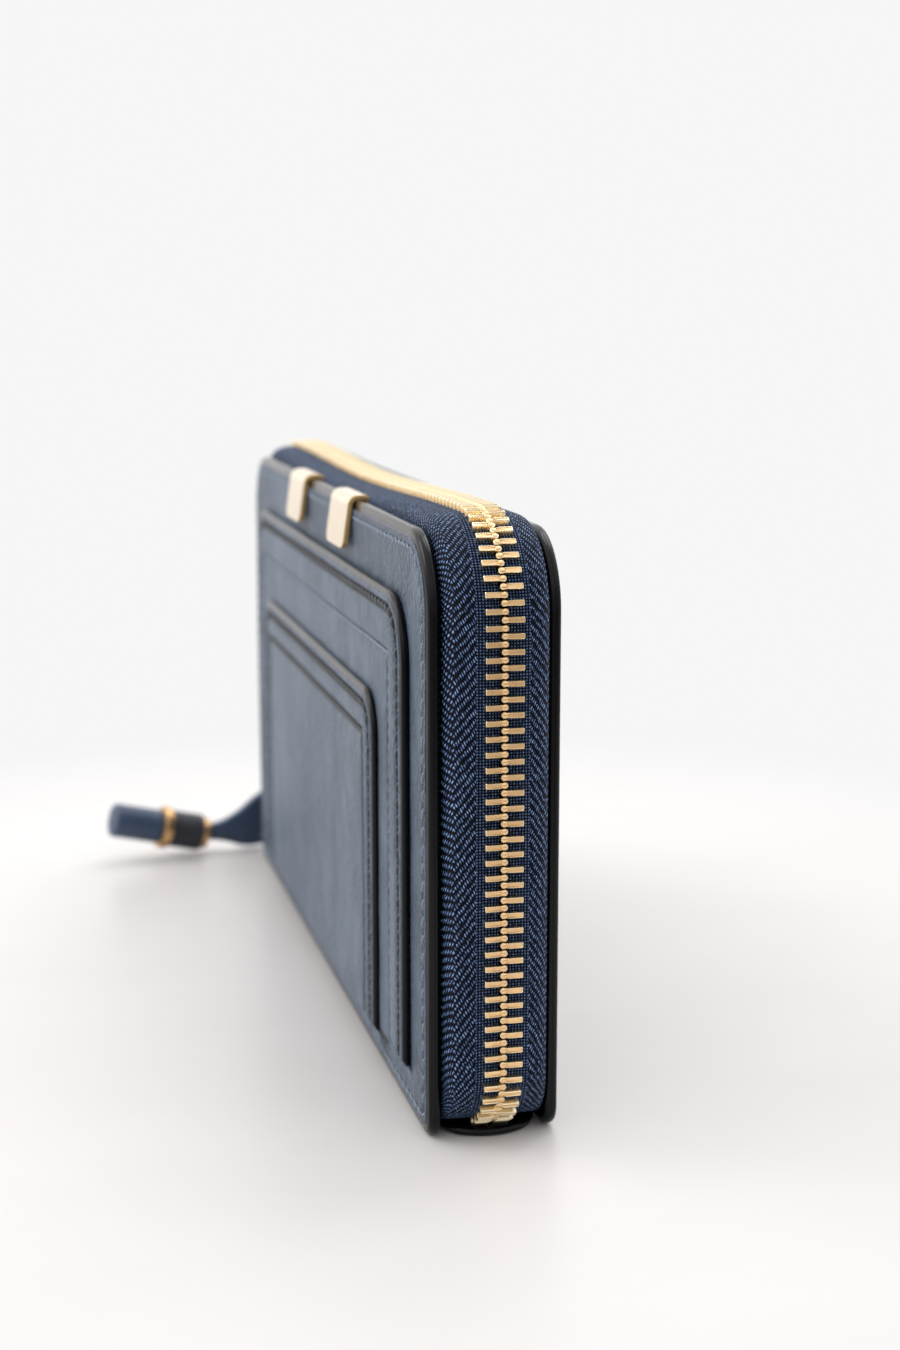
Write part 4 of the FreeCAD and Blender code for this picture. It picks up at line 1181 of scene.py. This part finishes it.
# --- inside -------------------------------------------------------------------------------------------------
def inner_sheet(name, node, body, side, foot, top, divided=False):
    """Thin upright sheet of lining leather, stitched round its edge, and down its middle if it's divided."""
    low, high = cad_box(node)
    face, thickness = max(abs(low[1]), abs(high[1])), high[1] - low[1]
    outline = Outline(high[0], low[2], high[2], foot, top, 2.0)
    rim, seam_at, pitch = min(0.22, thickness * 0.42), 2.0, 3.2
    seed = low[2] + high[2] + side

    def relief(x, z, inset):
        fold = 0.12 * np.exp(-(x / 0.9) ** 2) if divided else 0.0
        return (0.06 * ripple(x, z, 22.0, seed) - fold) * smooth(inset, 0.3, 2.0)

    rings = [(5.0, -0.02, FACE), (3.2, -0.02, FACE)] + groove(seam_at, 0.1, 0.5)
    rings += [(1.0, 0.0, FACE), (0.9, -0.03, EDGE)] + round_edge(thickness, rim, 3)
    sheet = slab(f"{name}_sheet", outline, rings, face - 0.04, side, [INNER_LEATHER, PAINT], relief)
    seams = [seam_on_outline(
        f"{name}_stitching", outline, seam_at, face - 0.14, side, pitch, relief,
        length=2.2, radius=0.14, slant=8,
    )]
    if divided:
        z = np.arange(low[2] + 3, high[2] - 3, pitch)
        points = np.column_stack([np.zeros(len(z)), np.full(len(z), side * (face - 0.16)), z])
        up, out = np.tile([0.0, 0.0, 1.0], (len(z), 1)), np.tile([0.0, side, 0.0], (len(z), 1))
        seams.append(stitches(f"{name}_divider_stitching", points, up, out, length=2.2, radius=0.13))
    stand_in(sheet, "inner_leather", body, node)
    for seam in seams:
        stand_in(seam, "inner_leather", body)


def soft_sheet(name, node, section, stations, axis, thickness, material):
    """Cloth sheet: a section of points pushed along an axis, then thickened."""
    points = np.array([np.insert(section(at), axis, at, axis=1) for at in stations])
    sheet = new_object(name, points.reshape(-1, 3), lattice(*points.shape[:2]), [material])
    solid = sheet.modifiers.new("thick", "SOLIDIFY")
    solid.thickness = thickness * MM
    solid.offset = 0.0
    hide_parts(node)
    return sheet


def bellows(name, node, side, end):
    """Folded cloth from a cover to the coin pocket's end."""
    low, high = cad_box(node)
    near, far = (low[1], high[1]) if side > 0 else (high[1], low[1])
    ends, clear = sorted((abs(low[0]), abs(high[0]))), 0.5
    inner, outer = ends[0] + clear, ends[1] - clear
    share = np.linspace(0.0, 1.0, 49)
    fold = 0.5 + 0.5 * np.cos(share * 4 * math.pi)
    sewn = 1 - smooth(share, 0.0, 0.2)
    pocket_end = cad_box("coin_wall_front")[1][0] - 0.3

    def section(z):
        sway = 0.12 * np.sin(z / 6.0 + share * 5)
        x = inner + (outer - inner) * fold * (1 - 0.12 * smooth(z, 70, 88)) + sway
        x = x + (pocket_end - x) * sewn
        return np.column_stack([end * x, near + (far - near) * share])

    stations = np.linspace(low[2] + 0.3, high[2] - 0.3, 60)
    sheet = soft_sheet(name, node, section, stations, 2, 0.4, DARK_CLOTH)
    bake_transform(sheet)


def coin_bag():
    """Cloth bag inside the coin pocket, pinched shut at both ends."""
    low, high = cad_box("coin_pocket_lining")
    deep = high[1] - 0.3
    turn = np.linspace(-1, 1, 41)
    z = low[2] + 0.3 + (high[2] - low[2] - 0.3) * np.abs(turn) ** 1.5

    def section(x):
        room = deep * np.clip((high[0] - abs(x)) / 3.0, 0, 1) ** 0.5
        wave = 0.86 + 0.14 * np.sin(x / 5.0 + z / 9.0)
        return np.column_stack([np.sign(turn) * room * np.minimum(np.abs(turn) * 7, 1) * wave, z])

    stations = np.linspace(low[0], high[0], 120)
    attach(soft_sheet("coin_bag", "coin_pocket_lining", section, stations, 0, 0.2, CLOTH), "core")


def coin_zip():
    """Small zip along the top of the coin pocket."""
    for name, side in SIDES:
        node = f"coin_zip_tape_{name}"
        low, high = cad_box(node)
        away, top = max(abs(low[1]), abs(high[1])) - 0.15, high[2] - 0.15
        line = [(away, low[2]), (away, top - 0.7), (away - 0.1, top - 0.25), (away - 0.35, top), (0.95, top)]
        profile = np.array(line) * (side, 1)

        def section(x):
            return profile + np.column_stack([np.zeros(5), 0.03 * np.sin(x * 1.7) * np.ones(5)])

        stations = np.linspace(low[0], high[0], 150)
        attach(soft_sheet(f"coin_tape_{name}", node, section, stations, 0, 0.25, DARK_CLOTH), "core")
        low, high = cad_box(f"coin_zip_teeth_{name}")
        middle, first = (low[2] + high[2]) / 2, low[0] + 0.4
        count = int(round((high[0] - low[0] - 0.8) / COIN_PITCH)) + 1

        def place_at(x):
            return lambda local: np.column_stack([
                x + local[:, 0] * 0.85, -side * (local[:, 1] * 0.62 - 0.02), middle + local[:, 2] * 0.46
            ])

        places = [place_at(first + n * COIN_PITCH) for n in range(count)]
        tooth_row(f"coin_tooth_row_{name}", f"coin_zip_teeth_{name}", "core", places)
    low, high = cad_box("coin_zip_stops")
    ends = [(low[0], low[0] + 1.2), (high[0] - 1.2, high[0])]
    parts = [block((a, low[1], low[2]), (b, high[1], high[2]), 0.3) for a, b in ends]
    fitted("coin_stop_bars", "coin_zip_stops", "core", parts, BRASS)


def coin_slider():
    """The coin zip's slider, its diamond and its tab."""
    low, high = cad_box("coin_slider_body")
    x, top = COIN_SLIDER_X, 87.85
    half = [(x - 3.7, -2.0), (x + 2, -2.6), (x + 4, -1.6)]
    shield = rounded(half + [(along, -across) for along, across in reversed(half)], 1.0)
    turn = np.linspace(0, math.pi, 13)
    arch = np.column_stack([x - 1.9 * np.cos(turn), np.zeros(13), top + 0.5 + 2.2 * np.sin(turn) ** 0.6])
    parts = [
        lozenge(shield, top, top + 0.7, 0.22), tube(arch, 0.32, ACROSS, 14, flat=2.2),
        block((low[0], -0.7, low[2] + 0.05), (high[0], 0.7, low[2] + 0.65), 0.15),
    ]
    fitted("coin_slider_shell", "coin_slider_body", "coin_slider", parts)
    low, high = cad_box("coin_slider_diamond")
    middle = (low[0] + high[0]) / 2
    wedge = [(low[0], 0), (middle, high[1]), (high[0], 0), (middle, low[1])]
    parts = [lozenge(rounded(wedge, 0.2), low[2], high[2], 0.05)]
    fitted("coin_slider_wedge", "coin_slider_diamond", "coin_slider", parts)
    z, half = 89.35, 0.42
    tongue = rounded([(x - 10.4, -1.9), (x - 4.0, -2.1), (x - 4.0, 2.1), (x - 10.4, 1.9)], 1.3)
    pin = [(0, 0.05), (0, 0.4), (0.15, 0.55), (4.25, 0.55), (4.4, 0.4), (4.4, 0.05)]
    parts = [lozenge(tongue, z - half, z + half, 0.2), lathe(pin, (x, -2.2, z), ACROSS, 20)]
    for y in (-1.7, 1.7):
        parts.append(block((x - 4.6, y - 0.45, z - half), (x + 0.2, y + 0.45, z + half), 0.2))
    fitted("coin_tab_plate", "coin_pull_tab", "coin_tab", parts)


def build_inside():
    """Card leaves, bellows, coin pocket, spine lining and the zip's stops."""
    for name, side in SIDES:
        inner_sheet(f"{name}_leaf", f"{name}_leaf_panel", f"{name}_leaf", side, 3.0, 6.0)
        for row in (1, 2, 3):
            node = f"{name}_card_row_{row}"
            inner_sheet(f"{name}_card_pocket_{row}", node, f"{name}_leaf", side, 1.0, 2.0, True)
        inner_sheet(f"coin_panel_{name}", f"coin_wall_{name}", "core", side, 2.0, 5.0)
        for place, end in (("near", 1), ("far", -1)):
            bellows(f"bellows_{name}_{place}", f"gusset_{name}_{place}", side, end)
    coin_bag()
    coin_zip()
    coin_slider()
    strip = [block(*cad_box("spine_lining"), 0.3)]
    fitted("spine_lining_strip", "spine_lining", "core", strip, INNER_LEATHER, "inner_leather")
    stops = [("zip_foot_staple", "zip_bottom_stop", "core")]
    stops += [(f"zip_top_stop_bar_{name}", f"zip_top_stop_{name}", f"{name}_cover") for name, _ in SIDES]
    for name, node, body in stops:
        fitted(name, node, body, [block(*cad_box(node), 0.35)], BRASS)


# --- stage --------------------------------------------------------------------------------------------------
def pale_table():
    """Pale polished stone that brightens into the background, and for reflections ends in front."""
    s = Shader("pale_table")
    cloud = s.noise(s.scaled(60, 90, 60), 4.0, 0.6)
    fade_from, fade_to = 0.11, 0.23          # metres from the middle of the table
    end_from, end_to, end_share = 0.2, 0.4, 0.6
    stone = s.mix(cloud, rgb(209, 204, 201), rgb(221, 217, 215))
    s.finish(Base_Color=stone, Roughness=0.3, Specular_IOR_Level=0.3)
    seen = s.node("ShaderNodeLightPath").outputs["Is Camera Ray"]
    away = s.node("ShaderNodeVectorMath", {0: s.place}, operation="LENGTH").outputs["Value"]
    front = s.node("ShaderNodeSeparateXYZ", {0: s.place}).outputs[0]
    glow = s.node("ShaderNodeEmission", {"Color": BACKGROUND, "Strength": seen}).outputs[0]
    ended = s.times(s.math("SUBTRACT", 1.0, seen), s.spread(front, end_from, end_to, 0.0, end_share))
    faded = s.times(seen, s.spread(away, fade_from, fade_to, 0.0, 1.0))
    blend = s.node("ShaderNodeMixShader", {0: s.plus(ended, faded)})
    s.tree.links.new(s.surface.outputs[0], blend.inputs[1])
    s.tree.links.new(glow, blend.inputs[2])
    s.tree.links.new(blend.outputs[0], s.tree.nodes["Material Output"].inputs["Surface"])
    return s.material


def build_world():
    """White behind the wallet, bright above and to the left, and a darker room on the camera's side.

    Directions run from -1 to 1 along each axis, and the room's brightness is set by direction.
    """
    world = bpy.data.worlds.new("studio")
    bpy.context.scene.world = world
    world.use_nodes = True
    s = Shader("studio_helper", world.node_tree)
    split = s.node("ShaderNodeSeparateXYZ", {0: s.node("ShaderNodeTexCoord").outputs["Generated"]})
    x, y, z = split.outputs
    wall, camera_side, glare_light, ceiling, window = 0.93, 0.56, 0.4, 0.65, 0.35
    behind = s.spread(x, -0.3, 0.55, wall, camera_side)
    glare = s.times(s.spread(x, -0.84, -0.93, 0.0, glare_light), s.spread(z, 0.15, 0.4, 1.0, 0.0))
    overhead = s.spread(z, 0.25, 0.6, 0.0, ceiling)
    left = s.times(s.spread(y, -0.35, -0.9, 0.0, window), s.spread(z, -0.1, 0.25, 0.0, 1.0))
    room = s.plus(s.plus(behind, glare), s.plus(overhead, left))
    seen = s.node("ShaderNodeLightPath").outputs["Is Camera Ray"]
    background = s.tree.nodes["Background"]
    s.set(background, "Color", BACKGROUND)
    s.set(background, "Strength", s.plus(seen, s.times(s.math("SUBTRACT", 1.0, seen), room)))


def softbox(name, place, size, watts):
    """Rectangular lamp aimed at the middle of the wallet."""
    light = bpy.data.lights.new(name, "AREA")
    light.shape = "RECTANGLE"
    light.size, light.size_y = size
    light.energy = watts
    obj = bpy.data.objects.new(name, light)
    obj.location = place
    obj.rotation_euler = (Vector(WALLET_MIDDLE) - Vector(place)).to_track_quat("-Z", "Y").to_euler()
    bpy.context.scene.collection.objects.link(obj)


def build_stage():
    """Pale table, white surroundings and soft window light."""
    bpy.ops.mesh.primitive_plane_add(size=TABLE_SIZE, location=(0, 0, 0))
    floor = bpy.context.object
    floor.name = "floor"
    floor.data.materials.append(pale_table())
    floor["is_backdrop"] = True
    build_world()
    softbox("window", (-0.35, -0.75, 0.7), (0.6, 0.5), 2.7)
    softbox("top", (-0.3, 0.35, 0.9), (0.5, 0.5), 2.2)
    bpy.context.scene.view_settings.view_transform = "Standard"


def build_camera():
    """Camera at the photograph's viewing angle."""
    yaw, pitch = math.radians(CAMERA_YAW), math.radians(CAMERA_PITCH)
    focus = bpy.data.objects.new("focus", None)
    data = bpy.data.cameras.new("camera")
    data.sensor_width = SENSOR
    data.lens = FOCAL_LENGTH
    data.clip_start = 0.01
    data.dof.use_dof = True
    data.dof.focus_object = focus
    data.dof.aperture_fstop = APERTURE
    camera = bpy.data.objects.new("camera", data)
    camera.location = CAMERA_PLACE
    look = Vector((-math.cos(yaw) * math.cos(pitch), math.sin(yaw) * math.cos(pitch), -math.sin(pitch)))
    camera.rotation_euler = look.to_track_quat("-Z", "Y").to_euler()
    focus.location = Vector(CAMERA_PLACE) + look * FOCUS_DISTANCE
    for obj in (focus, camera):
        bpy.context.scene.collection.objects.link(obj)
    bpy.context.scene.camera = camera


def write_sizes():
    """Size of the CAD and of the visual, as lowest and highest corners in metres."""
    corners = {"cad": CAD_BOX, "visual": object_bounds()}
    boxes = {name: [[float(x) for x in corner] for corner in box] for name, box in corners.items()}


build_covers()
build_zip()
metal_plate("front_plate_sheet_left", "front_plate_left")
metal_plate("front_plate_sheet_right", "front_plate_right")
spine_strip()
build_slider()
build_pull()
build_inside()
build_stage()
build_camera()
write_sizes()
